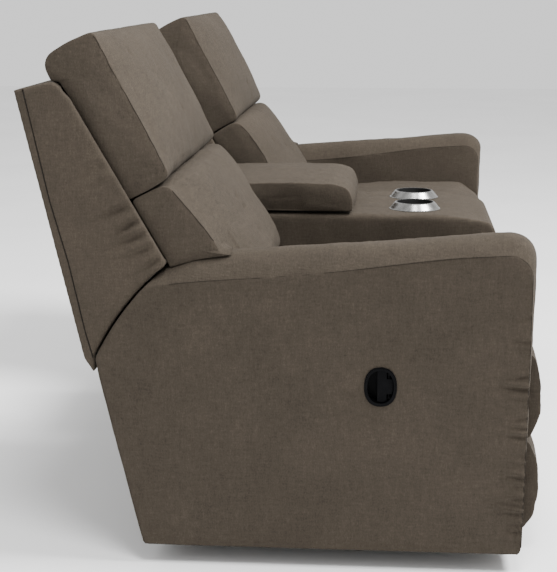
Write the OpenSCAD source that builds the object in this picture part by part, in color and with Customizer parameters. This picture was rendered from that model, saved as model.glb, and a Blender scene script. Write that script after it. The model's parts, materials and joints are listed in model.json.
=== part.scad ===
// Reclining loveseat with a storage console between two seats.
// X runs across the width, the sitters face -Y, Z is up from the floor. Millimetres.
// "Right" is the sitter's right, at negative X. Left pieces are mirror images.

/* [Overall] */
// Width of one arm
arm_w = 110; // [90:5:160]
// Clear width between an arm and the console
bay_w = 658; // [560:2:760]
// Width of the console
console_w = 394; // [340:2:460]
// Height of the underside of the arms above the floor
arm_bottom = 38; // [30:1:60]

/* [Arm] */
// Distance of the arm's front seam ahead of the middle
arm_front = 457; // [430:1:490]
// Height of the side seam at the front of the arm
arm_front_h = 611; // [580:1:640]
// Drop of the arm's top from front to back
arm_drop = 68; // [40:1:90]
// Radius of the arm's upper front corner
arm_nose_r = 42; // [20:1:60]
// Rise of the padded arm top above its side seams
arm_crown = 28; // [10:1:34]
// Bulge of the padded arm front ahead of its seams
arm_front_crown = 10; // [4:1:14]
// Thickness of the padded arm walls
arm_wall = 14; // [10:1:20]
// Width of the timbers in the arm frame
arm_timber = 46; // [30:1:60]

/* [Rear outline] */
// Place of the lower rear corner behind the middle
rear_foot_y = 267; // [240:1:290]
// Backward lean of the rear faces, in degrees
rear_lean = 13.5; // [10:0.5:16]
// Height where the fixed rear ends and the back begins
rear_split_h = 366; // [350:1:380]

/* [Back] */
// Height of the recline pivot
pivot_z = 320; // [300:1:330]
// Place of the recline pivot behind the middle
pivot_y = 190; // [170:1:200]
// Lean of the back's cushions, in degrees
back_lean = 29.8; // [26:0.2:32]
// Length of the back shell's front edge
shell_len = 378; // [340:1:420]
// Thickness of the shell's walls
shell_wall = 16; // [12:1:20]
// Gap between the shell and the arm below it
shell_gap = 4; // [3:0.5:8]
// Inset of the shell's outer side from the arm's outer face
shell_side_in = 6; // [2:1:14]
// Distance from the shell's inner side to the console
shell_console_gap = 29; // [20:1:40]
// Thickness of the plywood sides of the back frame
ply = 18; // [12:1:22]

/* [Cushions] */
// Thickness of the headrest cushion
headrest_t = 92; // [70:1:110]
// Height of the headrest cushion along the back
headrest_len = 310; // [250:2:350]
// Thickness of the lumbar cushion
lumbar_t = 90; // [70:1:110]
// Outer inset of the back cushions from the shell's side
cushion_side_in = 19; // [10:1:30]
// Inner inset of the back cushions from the shell's side
cushion_console_in = 16; // [8:1:30]
// Height of the seat cushion's underside
seat_base_h = 402; // [400:0.5:410]
// Height of the seat cushion at its front
seat_front_h = 508; // [490:1:520]
// Height of the seat cushion at its rear
seat_rear_h = 478; // [460:1:490]
// Gap between a seat cushion and the arm or console
seat_side_gap = 3; // [1:0.5:8]

/* [Footrest] */
// Thickness of the footrest board
board_t = 12; // [9:1:16]
// Height of the footrest board's top edge
board_top = 390; // [380:1:392]
// Thickness of the footrest pads
pad_t = 31; // [24:1:36]
// Height of the footrest's lower end above the floor
pad_low = 46; // [44:1:70]
// Height of the seam between the two footrest pads
pad_seam = 228; // [200:1:260]
// Gap between the footrest and the arm or console
pad_side_gap = 6; // [4:1:12]

/* [Mechanism] */
// Thickness of the steel links and plates
steel = 4; // [3:0.5:4]
// Pitch of the link planes
link_pitch = 5; // [5:0.5:6]
// Width of a link
link_w = 20; // [16:1:22]
// Radius of the link pins
pin_r = 5; // [3:0.5:6]
// Radial clearance of the pins
pin_clear = 0.05; // [0.02:0.01:0.1]
// Radial clearance of the one opened pivot
open_clear = 1.8; // [1.6:0.1:2.5]
// Radius of the torque tube
tube_r = 11; // [8:1:14]
// Distance of the back's hinge brackets from the bay wall
bracket_in = 48; // [46:1:60]
// Radius of the recline pivot pin
recline_pin_r = 7; // [5:0.5:9]

/* [Console] */
// Height of the console's top
console_h = 564; // [540:1:580]
// Thickness of the console's padded walls
console_wall = 14; // [10:1:18]
// Rise of the lid's top above the console's top
lid_rise = 74; // [60:1:90]
// Place of the lid's front end ahead of the middle
lid_front = 108; // [90:1:140]
// Place of the lid's hinge behind the middle
lid_hinge_y = 238; // [220:1:260]
// Depth of the storage bin
bin_depth = 230; // [120:5:260]
// Wall of the storage bin
bin_wall = 3; // [2:0.5:5]

/* [Cup holders] */
// Bore radius of a cup well
cup_r = 42.5; // [36:0.5:46]
// Depth of a cup well
cup_depth = 82; // [60:1:100]
// Distance between the cup wells
cup_pitch = 196; // [160:2:220]
// Place of the cup wells ahead of the middle
cup_y = 254; // [220:1:300]
// Outer radius of the sloping rim
rim_r = 61; // [54:1:70]
// Height of the sloping rim
rim_h = 17; // [8:1:24]

/* [Release handle] */
// Place of the handle ahead of the middle
handle_y = 183.5; // [150:0.5:220]
// Height of the handle's middle
handle_z = 361; // [320:1:400]
// Width of the handle's bezel
handle_w = 61; // [50:1:80]
// Height of the handle's bezel
handle_h = 75; // [60:1:90]
// Depth of the finger recess
handle_depth = 24; // [18:1:30]

/* [Base] */
// Width of the base rails
rail_w = 40; // [30:1:50]
// Height of the base rails
rail_h = 25; // [20:1:30]
// Radius of a foot
foot_r = 22; // [16:1:30]

/* [Hidden] */
$fn = 48;
fabric = "#6b6258";
fabric_dark = "#5a5249";
timber = "#c9a777";
metal = "#8a8d90";
black = "#1c1c1c";

// Places across the width
console_x = console_w / 2;
wall_x = console_x + bay_w;
outer_x = wall_x + arm_w;
shell_out = outer_x - shell_side_in;
shell_in = console_x + shell_console_gap;
hair = 0.3;

// The arc that parts the arm from the back shell, and the fixed rear line
arc_y = -114;
arc_z = 183;
arc_r = 516;
function rear_y(z) = rear_foot_y + (z - arm_bottom) * tan(rear_lean);
arm_top_run = 664;
function arm_top(y) = let(t = (y + arm_front - arm_nose_r) / arm_top_run)
  arm_front_h - arm_drop * (0.475 * t + 0.525 * t * t);

// Bore radius of the cable's hole in the arm
cable_hole_r = 5;

// Outline helpers: a polygon whose corners [a, b, radius] are rounded
function unit(v) = v / norm(v);
function corner(p, q, s, r, n) = r <= 0 ? [q] :
  let(a = unit(p - q), b = unit(s - q), half = acos(a * b) / 2)
  let(c = q + unit(a + b) * r / sin(half), g = q + a * r / tan(half), h = q + b * r / tan(half))
  [for (i = [0 : n]) c + r * unit((g - c) * (1 - i / n) + (h - c) * (i / n))];
function flat2(p) = [p[0], p[1]];
function rounded(pts, n = 5) = let(k = len(pts))
  [for (i = [0 : k - 1])
    each corner(flat2(pts[(i + k - 1) % k]), flat2(pts[i]), flat2(pts[(i + 1) % k]), pts[i][2], n)];

// A side profile in (y, z), drawn out along X
module slab(x0, x1) {
  translate([x0, 0, 0]) rotate([90, 0, 90]) linear_extrude(x1 - x0) children();
}

// A closed skin through rings of points, each ring counter-clockwise seen from +X
module skin(rings) {
  n = len(rings[0]);
  m = len(rings);
  first = [for (p = rings[0]) 1] * rings[0] / n;
  last = [for (p = rings[m - 1]) 1] * rings[m - 1] / n;
  body_points = [for (r = rings) each r];
  side_faces = [for (j = [0 : m - 2]) for (i = [0 : n - 1])
    let(a = j * n + i, b = j * n + (i + 1) % n, c = b + n, d = a + n)
    each [[a, d, c], [a, c, b]]];
  cap0 = [for (i = [0 : n - 1]) [i, (i + 1) % n, m * n]];
  cap1 = [for (i = [0 : n - 1]) [(m - 1) * n + (i + 1) % n, (m - 1) * n + i, m * n + 1]];
  polyhedron(points = concat(body_points, [first, last]), faces = concat(side_faces, cap0, cap1));
}

// The stations of a stuffed form, from end to end, and how far its outline draws in there
STATIONS = [-1, -0.985, -0.94, -0.8, -0.45, 0, 0.45, 0.8, 0.94, 0.985, 1];
function draw_in(s) = 1 - sqrt(max(0, 1 - pow(abs(s), 8)));

// Ring of a cushion: profile of [t, h] pairs, drawn in by edge and pulled in at mid height
function cushion_ring(profile, mid, half, s, x0, x1, edge, pull, puff) =
  let(e = edge * draw_in(s), grow = puff * (1 - s * s))
  [for (p = profile)
    let(q = [(p[0] - mid[0]) / half[0], (p[1] - mid[1]) / half[1]])
    [(x0 + x1) / 2 + s * ((x1 - x0) / 2 - pull * (1 - q[1] * q[1])),
      mid[0] + q[0] * (half[0] - e) + max(0, q[0]) * grow * (1 - q[1] * q[1]),
      mid[1] + q[1] * (half[1] - e)]];

// A stuffed cushion standing on a plane through origin [y, z] that leans back by lean degrees:
// profile is [depth forward, height along the plane]
module leaning_cushion(profile, origin, lean, x0, x1, edge, pull, puff) {
  ts = [for (p = profile) p[0]];
  hs = [for (p = profile) p[1]];
  mid = [(max(ts) + min(ts)) / 2, (max(hs) + min(hs)) / 2];
  half = [(max(ts) - min(ts)) / 2, (max(hs) - min(hs)) / 2];
  skin([for (s = STATIONS)
    [for (p = cushion_ring(profile, mid, half, s, x0, x1, edge, pull, puff))
      [p[0], origin[0] + p[2] * sin(lean) - p[1] * cos(lean),
        origin[1] + p[2] * cos(lean) + p[1] * sin(lean)]]]);
}

// Arm outline in (y, z), drawn in by ins, with its top lifted and its front pushed out
function arm_side(ins, lift, push) =
  let(r = arc_r - ins, top = arm_top(250) + lift - ins)
  let(a0 = asin((405 - arc_z) / r), a1 = asin((top - arc_z) / r))
  let(y_end = arc_y + r * cos(a1), y_nose = -arm_front + arm_nose_r, f = -arm_front - push + ins)
  concat(
    [[f + 16, arm_bottom + ins], [rear_y(arm_bottom) - ins, arm_bottom + ins],
      [rear_y(rear_split_h) - ins, rear_split_h]],
    [for (i = [0 : 6]) let(a = a0 + (a1 - a0) * i / 6) [arc_y + r * cos(a), arc_z + r * sin(a)]],
    [for (i = [1 : 6]) let(y = y_end + (y_nose - y_end) * i / 7) [y, arm_top(y) + lift - ins]],
    [for (i = [0 : 5]) let(a = 90 + 90 * i / 5, z = arm_top(y_nose) + lift - ins)
      [y_nose + (arm_nose_r + push - ins) * cos(a), z - arm_nose_r + arm_nose_r * sin(a)]],
    [[f, 420], [f, 200], [f, arm_bottom + ins + 16], [f + 5, arm_bottom + ins + 5]]);

function crown_at(s) = 1 - pow(abs(s), 2.6);
ARM_STATIONS = [-1, -0.94, -0.82, -0.6, -0.3, 0, 0.3, 0.6, 0.82, 0.94, 1];

module arm_cover() {
  mid_x = -(outer_x + wall_x) / 2;
  color(fabric) difference() {
    skin([for (s = ARM_STATIONS)
      [for (p = arm_side(0, arm_crown * crown_at(s), arm_front_crown * crown_at(s)))
        [mid_x + s * arm_w / 2, p[0], p[1]]]]);
    slab(-outer_x + arm_wall, -wall_x - arm_wall) polygon(arm_side(arm_wall, 0, 0));
    at_handle(-arm_wall, handle_depth + 3) polygon(oval(recess_w + 4, recess_h + 4));
    translate([-wall_x - arm_wall - 1, cable_y, cable_z]) rotate([0, 90, 0])
      cylinder(h = arm_wall + 2, r = cable_hole_r);
  }
}

module arm_frame() {
  window_top = arm_front_h - arm_drop - arm_wall - arm_timber;
  color(timber) slab(-outer_x + arm_wall + hair, -wall_x - arm_wall - hair) difference() {
    polygon(arm_side(arm_wall + hair, 0, 0));
    polygon(rounded([
      [-arm_front + arm_wall + arm_timber, arm_bottom + arm_wall + arm_timber, 6],
      [-handle_y - handle_w, arm_bottom + arm_wall + arm_timber, 6],
      [-handle_y - handle_w, window_top, 6],
      [-arm_front + arm_wall + arm_timber, window_top, 6]]));
    polygon(rounded([
      [-handle_y - handle_w + arm_timber / 2, arm_bottom + arm_wall + arm_timber, 6],
      [rear_foot_y - arm_wall - arm_timber, arm_bottom + arm_wall + arm_timber, 6],
      [rear_foot_y - arm_timber, 420, 6], [rear_foot_y - 2 * arm_timber, window_top, 6],
      [-handle_y - handle_w + arm_timber / 2, window_top, 6]]));
  }
}

// Release handle: an oval bezel with a finger recess, and a paddle hinged at its front
function oval(w, h, n = 40) = [for (i = [0 : n - 1]) let(c = cos(360 * i / n), s = sin(360 * i / n))
  [w / 2 * sign(c) * pow(abs(c), 0.86), h / 2 * sign(s) * pow(abs(s), 0.86)]];
recess_w = handle_w - 12;
recess_h = handle_h - 12;
paddle_x = -outer_x + 6;
paddle_hinge_y = -handle_y - recess_w / 2 + 9;
paddle_pin_r = 2;
cable_y = -handle_y + recess_w / 2 - 6;
cable_z = 300;

module at_handle(depth0, depth1) {
  translate([-outer_x + depth0, -handle_y, handle_z]) rotate([90, 0, 90])
    linear_extrude(depth1 - depth0) children();
}

module handle_bezel() {
  color(black) union() {
    difference() {
      union() {
        at_handle(-4, -0.01) polygon(oval(handle_w - 4, handle_h - 4));
        at_handle(-2.6, -0.01) polygon(oval(handle_w, handle_h));
        at_handle(-1, handle_depth) polygon(oval(recess_w + 3.6, recess_h + 3.6));
      }
      at_handle(-5, handle_depth - 2) polygon(oval(recess_w, recess_h));
    }
    for (e = [-1, 1])
      translate([paddle_x, paddle_hinge_y, handle_z + e * (recess_h / 2 - 14.75)])
        cylinder(h = 13.5, r = paddle_pin_r, center = true);
    for (e = [-1, 1])
      translate([paddle_x, paddle_hinge_y - 1, handle_z + e * (recess_h / 2 - 9)])
        cube([4, 6, 3], center = true);
  }
}

module release_paddle() {
  color("#101010") difference() {
    union() {
      intersection() {
        at_handle(2, 6) polygon(oval(recess_w - 3, recess_h - 3));
        translate([-outer_x - 5, -handle_y - recess_w / 2, handle_z - recess_h / 2])
          cube([20, recess_w * 0.62, recess_h]);
      }
      translate([paddle_x, paddle_hinge_y, handle_z - 16]) cylinder(h = 32, r = 4);
    }
    translate([paddle_x, paddle_hinge_y, handle_z - 20]) cylinder(h = 40, r = paddle_pin_r + 0.06);
    for (e = [-1, 1])
      translate([paddle_x, paddle_hinge_y - 9, handle_z + e * (recess_h / 2 - 10)])
        cube([12, 26, 14], center = true);
  }
}

module release_cable() {
  r = 2.6;
  bend = 14;
  back_x = -outer_x + handle_depth + 0.1;
  turn_x = -outer_x + arm_w / 2;
  color(black) union() {
    translate([back_x, cable_y, handle_z]) rotate([0, 90, 0])
      cylinder(h = turn_x - bend - back_x, r = r);
    translate([turn_x - bend, cable_y, handle_z - bend]) rotate([90, 0, 0])
      rotate_extrude(angle = 90) translate([bend, 0]) circle(r);
    translate([turn_x, cable_y, cable_z + bend])
      cylinder(h = handle_z - cable_z - 2 * bend, r = r);
    translate([turn_x + bend, cable_y, cable_z + bend]) rotate([90, 180, 0])
      rotate_extrude(angle = 90) translate([bend, 0]) circle(r);
    translate([turn_x + bend, cable_y, cable_z]) rotate([0, 90, 0])
      cylinder(h = -wall_x - 0.1 - turn_x - bend, r = r);
  }
}

// Leg rest linkage, worked out in the side plane: forward distance f = -y, height z.
// Two long links carry the footrest; a lift link and a top link steer it.
long_link = 245;
lift_at = 100;
lift_link = 170;
top_link = 150;
drive_p = [250, 270];
rest_p = [430, 300];
lift_angle = 97.7;
top_angle = 4.1;
steer_p = rest_p + [-2, 63];
drive_angle = let(d = rest_p - drive_p)
  atan2(d[1], d[0]) - acos(norm(d) / (2 * long_link));
knee_p = drive_p + long_link * [cos(drive_angle), sin(drive_angle)];
lift_p = drive_p + lift_at * [cos(drive_angle), sin(drive_angle)];
crank_p = lift_p + lift_link * [cos(lift_angle), sin(lift_angle)];
top_end = crank_p + top_link * [cos(top_angle), sin(top_angle)];

// Solids stacked inward from a bay wall: planes A, B and C hold the links
plane_a = steel + 1;
plane_b = plane_a + link_pitch;
plane_c = plane_b + link_pitch;
plane_d = plane_c + link_pitch;

// Both bay walls of the right seat: the arm's inner face and the console's side
module at_walls() {
  translate([-wall_x, 0, 0]) children();
  translate([-console_x, 0, 0]) mirror([1, 0, 0]) children();
}
module disc(p, d0, d1, r) {
  translate([d0, -p[0], p[1]]) rotate([0, 90, 0]) cylinder(h = d1 - d0, r = r);
}
// A flat link between pins p and q, with holes of radius bore at the listed points
module bar(p, q, d0, w, holes, bore) {
  slab(d0, d0 + steel) difference() {
    union() {
      for (c = [p, q]) translate([-c[0], c[1]]) circle(w / 2);
      translate([-p[0], p[1]]) rotate(180 - atan2(q[1] - p[1], q[0] - p[0]))
        translate([0, 1.5 - w / 2]) square([norm(q - p), w - 3]);
    }
    for (c = holes) translate([-c[0], c[1]]) circle(bore);
  }
}

module drive_links() {
  color(metal) union() {
    at_walls() {
      bar(drive_p, knee_p, plane_a, link_w, [drive_p], pin_r + 1 + pin_clear);
      for (p = [knee_p, lift_p]) {
        disc(p, plane_a + 1, plane_c + 0.5, pin_r);
        disc(p, plane_c + 0.5, plane_c + 2.5, pin_r + 3);
      }
    }
    translate([-wall_x + plane_a + steel, -drive_p[0], drive_p[1]]) rotate([0, 90, 0]) difference() {
      cylinder(h = bay_w - 2 * plane_a - 2 * steel, r = tube_r);
      translate([0, 0, -1]) cylinder(h = bay_w, r = tube_r - 2.5);
    }
  }
}

module front_links() {
  color(metal) at_walls() bar(knee_p, rest_p, plane_b, link_w, [knee_p, rest_p], pin_r + pin_clear);
}

module lift_links() {
  color(metal) at_walls() bar(lift_p, crank_p, plane_b, link_w, [lift_p, crank_p], pin_r + pin_clear);
}

module top_links() {
  color(metal) at_walls() union() {
    bar(crank_p, top_end, plane_a, link_w - 2, [], 0);
    disc(crank_p, plane_a + 1, plane_c + 0.5, pin_r);
    disc(crank_p, plane_c + 0.5, plane_c + 2.5, pin_r + 3);
    disc(top_end, plane_a + 1, plane_d + 0.5, pin_r);
    disc(top_end, plane_d + 0.5, plane_d + 2.5, pin_r + 4);
  }
}

board_back = 446;
module footrest_brackets() {
  flange = 3;
  color(metal) at_walls() difference() {
    union() {
      translate([plane_c, 0, 0]) rotate([90, 0, 90]) linear_extrude(steel) polygon(rounded([
        [-rest_p[0] + 11, rest_p[1] - 12, 8], [-board_back, rest_p[1] - 60, 1],
        [-board_back, board_top - 8, 1], [-rest_p[0] + 14, steer_p[1] + 14, 10]]));
      translate([plane_c, -board_back, rest_p[1] - 60])
        cube([26, flange, board_top - 8 - rest_p[1] + 60]);
      disc(rest_p, plane_a + 2, plane_d, pin_r);
      disc(rest_p, plane_a + 2, plane_b - 0.5, pin_r + 3);
    }
    disc(steer_p, 0, plane_d + 6, pin_r + open_clear);
  }
}

module footrest_board() {
  color(timber) translate([-wall_x + pad_side_gap, -board_back - board_t, pad_low + 14])
    cube([bay_w - 2 * pad_side_gap, board_t, board_top - pad_low - 14]);
}

// Footrest pads: stuffed rolls on the board's front
module footrest_pad(z0, z1, edge) {
  h = z1 - z0;
  profile = rounded([[0, 0, 3], [pad_t - 8, 0, 12], [pad_t, h * 0.3, 30], [pad_t, h * 0.7, 30],
    [pad_t - 8, h, 12], [0, h, 3]], 3);
  color(fabric) leaning_cushion(profile, [-board_back - board_t - hair, z0], 0,
    -wall_x + pad_side_gap, -console_x - pad_side_gap, edge, 2, 3);
}

module side_plates() {
  color(metal) at_walls() union() {
    translate([0.01, 0, 0]) rotate([90, 0, 90]) linear_extrude(steel) polygon(rounded([
      [-drive_p[0] - 30, drive_p[1] - 22, 12], [-drive_p[0] + 60, drive_p[1] - 22, 12],
      [pivot_y + 24, pivot_z - 26, 14], [pivot_y + 24, pivot_z + 22, 14],
      [-drive_p[0] + 60, seat_rail_z - steel, 10], [-drive_p[0] - 30, drive_p[1] + 22, 12]]));
    disc(drive_p, 0.5, plane_a + steel, pin_r + 1);
    disc([-pivot_y, pivot_z], 0.5, bracket_in - 0.5, recline_pin_r + 5);
    disc([-pivot_y, pivot_z], 0.5, bracket_in + steel + 1, recline_pin_r);
    for (y = seat_tab_y)
      translate([0.01, y, seat_rail_z - steel]) cube([seat_frame_in + ply, seat_tab_w, steel]);
    for (y = seat_tab_y)
      translate([0.01, y, seat_rail_z - 30]) cube([steel, seat_tab_w, 28]);
  }
}

// Seat: a timber box on tabs of the side plates, with sinuous springs across its top
spring_t = 3.5;
seat_rail_h = 60;
seat_rail_z = seat_base_h - hair - spring_t - seat_rail_h;
seat_frame_in = 30;
seat_tab_w = 50;
seat_tab_y = [-200, 50];
seat_front_y = -438;
seat_rear_y = 118;
seat_rail_t = 22;

module seat_frame() {
  x0 = -wall_x + seat_frame_in;
  w = bay_w - 2 * seat_frame_in;
  color(timber) translate([x0, seat_front_y, seat_rail_z]) difference() {
    cube([w, seat_rear_y - seat_front_y, seat_rail_h]);
    translate([seat_rail_t, seat_rail_t, -1])
      cube([w - 2 * seat_rail_t, seat_rear_y - seat_front_y - 2 * seat_rail_t, seat_rail_h + 2]);
  }
}

// One flat serpentine spring from front rail to rear rail
module serpentine(length, width, turns) {
  pitch = length / turns;
  r = pitch / 2;
  for (i = [0 : turns - 1]) {
    side = i % 2 == 0 ? 1 : -1;
    translate([side * (width / 2 - r), pitch * (i + 0.5)]) difference() {
      circle(r + spring_t / 2, $fn = 24);
      circle(r - spring_t / 2, $fn = 24);
      translate([side > 0 ? -2 * r - 4 : 0, -r - 4]) square([2 * r + 4, 2 * r + 8]);
    }
  }
  for (i = [0 : turns])
    translate([i == 0 || i == turns ? 0 : -width / 2 + r, pitch * i - spring_t / 2])
      square([i == 0 || i == turns ? width / 2 - r : width - 2 * r, spring_t]);
}

module seat_springs() {
  span = seat_rear_y - seat_front_y - seat_rail_t;
  color(metal) for (i = [0 : 4])
    translate([-wall_x + bay_w * (i + 1) / 6, seat_front_y + seat_rail_t / 2, seat_rail_z + seat_rail_h])
      linear_extrude(spring_t) serpentine(span, 70, 17);
}

seat_cushion_rear = 110;
seat_nose = 9;

module seat_cushion() {
  depth = seat_cushion_rear + arm_front + seat_nose;
  rise = seat_front_h - seat_base_h;
  profile = rounded([[0, 0, 8], [depth - 30, 0, 14], [depth, 32, 14], [depth - 4, 56, 24],
    [depth - 66, rise + 2, 46], [depth / 2, rise, 60], [0, seat_rear_h - seat_base_h, 20]], 4);
  color(fabric) leaning_cushion(profile, [seat_cushion_rear, seat_base_h], 0,
    -wall_x + seat_side_gap, -console_x - seat_side_gap, 12, 2, 0);
}

module rear_apron() {
  z1 = rear_split_h - 2;
  z0 = arm_bottom + 7;
  color(fabric_dark) slab(-wall_x, -console_x) polygon([
    [rear_y(z0) - console_wall, z0], [rear_y(z0), z0], [rear_y(z1), z1], [rear_y(z1) - console_wall, z1]]);
}

// Back: everything is set out from the foot of the shell's front edge
back_o = [217, 580];
function back_p(u, v) = [back_o[0] + u * sin(back_lean) - v * cos(back_lean),
  back_o[1] + u * cos(back_lean) + v * sin(back_lean)];
shell_foot = [375, 402];
shell_top = [492, 904];
shell_slope = (shell_top[0] - shell_foot[0]) / (shell_top[1] - shell_foot[1]);
function shell_rear(z) = shell_foot[0] + (z - shell_foot[1]) * shell_slope;
heel_z = rear_split_h + 2;
heel_y = shell_rear(heel_z) - shell_wall + 1;

// Shell side outline; ins is the wall left at the top and rear, open the reach past the front edge
module shell_outline(ins, open) {
  polygon([
    [heel_y, heel_z], [shell_rear(shell_foot[1]) - ins, shell_foot[1] + (ins > 0 ? 8 : 0)],
    [shell_rear(shell_top[1] - ins) - ins, shell_top[1] - ins],
    back_p(shell_len + 18, -8) - [0, ins], back_p(shell_len, open) - [0, ins],
    back_p(12, open), back_p(-30, open - 4), [150, heel_z]]);
}

// Everything within arc_out of the arm's rear arc, and ahead of the heel below it
module shell_under(arc_out) {
  r = arc_r + shell_gap + arc_out;
  low = 404;
  intersection() {
    translate([arc_y, arc_z]) circle(r, $fn = 96);
    translate([arc_y, low]) square([arc_r * 2, arc_r]);
  }
  translate([arc_y, heel_z - 60]) square([heel_y - arc_y + 3, low - heel_z + 60]);
}

module back_shell() {
  color(fabric_dark) difference() {
    slab(-shell_out, -shell_in) difference() {
      shell_outline(0, 0);
      shell_under(0);
    }
    slab(-shell_out + shell_wall, -shell_in - shell_wall) difference() {
      shell_outline(shell_wall - 1, 40);
      shell_under(12);
    }
    slab(-wall_x + bracket_in - 8, -shell_in - shell_wall) difference() {
      shell_outline(shell_wall - 1, 40);
      translate([heel_y - 1, heel_z - 1]) square([40, 2]);
    }
  }
}

// Plywood sides and cross rails of the back, inside the shell
module back_frame() {
  x0 = -wall_x + bracket_in + steel;
  x1 = -console_x - bracket_in - steel;
  side = rounded([[pivot_y - 22, pivot_z - 20, 14], [pivot_y + 30, pivot_z - 20, 14],
    [pivot_y + 62, pivot_z + 78, 14], [pivot_y + 98, pivot_z + 142, 20],
    [shell_rear(pivot_z + 210) - shell_wall - 1, pivot_z + 210, 10],
    [shell_rear(shell_top[1] - 40) - shell_wall - 1, shell_top[1] - 40, 4],
    concat(back_p(shell_len - 20, -12), 4), concat(back_p(0, -2), 8),
    [pivot_y - 22, pivot_z + 130, 12]], 3);
  color(timber) difference() {
    union() {
      slab(x0, x0 + ply) polygon(side);
      slab(x1 - ply, x1) polygon(side);
      for (u = [16, 190, shell_len - 70])
        slab(x0 + ply, x1 - ply)
          polygon([back_p(u, -2), back_p(u, -22), back_p(u + 45, -22), back_p(u + 45, -2)]);
      slab(x0 + ply, x1 - ply) translate([pivot_y + 60, pivot_z + 70]) square([22, 50]);
    }
    translate([-wall_x, pivot_y, pivot_z]) rotate([0, 90, 0]) cylinder(h = bay_w, r = recline_pin_r + 4);
  }
}

module back_brackets() {
  color(metal) at_walls() difference() {
    translate([bracket_in, 0, 0]) rotate([90, 0, 90]) linear_extrude(steel) polygon(rounded([
      [pivot_y - 20, pivot_z - 18, 14], [pivot_y + 22, pivot_z - 18, 14],
      [pivot_y + 60, pivot_z + 90, 14], [pivot_y + 104, pivot_z + 250, 14],
      [pivot_y + 68, pivot_z + 256, 14], [pivot_y - 14, pivot_z + 100, 14]]));
    disc([-pivot_y, pivot_z], 0, bracket_in + 20, recline_pin_r + pin_clear);
  }
}

// Back cushions, set out on the leaning plane of the shell's front edge
cushion_x0 = -shell_out + cushion_side_in;
cushion_x1 = -shell_in - cushion_console_in;
headrest_u = 137;

module headrest() {
  t = headrest_t;
  h = headrest_len;
  over = shell_len + 22 - headrest_u;
  profile = rounded([[0.4, 2, 6], [t - 6, 2, 20], [t, h * 0.3, 60], [t, h * 0.7, 60], [t - 3, h - 4, 20],
    [22, h, 20], [-9, h - 12, 12], [-10, over + 6, 4], [0.4, over - 10, 6]], 3);
  color(fabric) leaning_cushion(profile, back_p(headrest_u, 0), back_lean,
    cushion_x0, cushion_x1, 16, 3, 5);
}

// The lumbar cushion has wings over the arm, and its middle reaches down behind the seat
wing_clear = 2;
function lumbar_ring(x, s, deep) =
  let(e = 14 * draw_in(s), t = lumbar_t + 13 * (1 - s * s))
  let(top = [[4 + e, headrest_u - 3 - e], [t - 12 - e, headrest_u - 3 - e], [t - 2 - e, headrest_u - 18 - e]])
  let(front = [[t + 4 - e, 90], [t + 8 - e, 60], [t + 8 - e, 30], [t + 8 - e, 0]])
  let(face = [for (p = concat(top, front)) back_p(p[1], p[0])])
  let(tail = [[t + 6 - e, -50], [t + 2 - e, -100], [t - 6 - e, -138], [t - 20 - e, -150],
    [30, -118], [6 + e, -60]])
  let(low = deep ? [for (p = tail) back_p(p[1], p[0])] :
    [for (y = [104, 116, 132, 160, 190, 212]) [y + e / 2, arm_top(y) + arm_crown + wing_clear + e / 2]])
  [for (p = concat(face, low, [back_p(20, 4 + e), back_p(80, 4 + e)])) [x, p[0], p[1]]];

module lumbar_cushion() {
  x0 = cushion_x0;
  x1 = cushion_x1;
  w = x1 - x0;
  wing = -wall_x - x0;
  stations = [[0, false], [0.008, false], [0.03, false], [0.08, false], [(wing + 1) / w, false],
    [(wing + 5) / w, true], [0.25, true], [0.4, true], [0.5, true], [0.6, true], [0.75, true],
    [0.9, true], [0.97, true], [0.993, true], [1, true]];
  color(fabric) skin([for (k = stations) let(r = lumbar_ring(x0 + w * k[0], 2 * k[0] - 1, k[1]))
    [for (i = [len(r) - 1 : -1 : 0]) r[i]]]);
}

// Console: an upholstered box on the base rails, open under the lid and at the cup wells
console_front = 456;
console_low = arm_bottom + rail_h;
bin_x = console_x - console_wall - 20;
bin_y0 = -lid_front + 26;
bin_y1 = lid_hinge_y - 24;

function console_side(ins) = rounded([
  [-console_front + ins, console_low + ins, 4], [rear_y(console_low) - ins, console_low + ins, 4],
  [rear_y(rear_split_h) - ins, rear_split_h, 20], [rear_y(rear_split_h) - ins, console_h - ins, 14],
  [-330, console_h - ins, 60], [-console_front + 20, console_h - 18 - ins, 30],
  [-console_front + ins, console_h - 90, 30]], 4);

module console_cover() {
  color(fabric) difference() {
    intersection() {
      slab(-console_x, console_x) polygon(console_side(0));
      translate([0, outer_x, 0]) rotate([90, 0, 0]) linear_extrude(2 * outer_x) polygon(rounded([
        [-console_x, 0, 0], [console_x, 0, 0], [console_x, console_h, 12], [-console_x, console_h, 12]]));
    }
    slab(-console_x + console_wall, console_x - console_wall) polygon(console_side(console_wall));
    translate([-bin_x, bin_y0, console_h - 40]) cube([2 * bin_x, bin_y1 - bin_y0, 60]);
    for (e = [-1, 1])
      translate([e * cup_pitch / 2, -cup_y, console_h - 40]) cylinder(h = 60, r = cup_r + 2.1);
  }
}

// Plywood sides, front, middle and rear panels of the console
module console_frame() {
  x = console_x - console_wall - hair;
  low = console_low + console_wall + hair;
  high = console_h - console_wall - hair;
  color(timber) union() {
    for (e = [-1, 1])
      slab(e > 0 ? x - 12 : -x, e > 0 ? x : -x + 12) polygon(console_side(console_wall + hair));
    for (y = [-console_front + console_wall + 30, bin_y0 - 30, rear_foot_y - console_wall - 18])
      translate([-x + 12, y, low]) cube([2 * x - 24, 12, (y < -300 ? high - 70 : high) - low]);
  }
}

bin_lip_t = 1.5;

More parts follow.
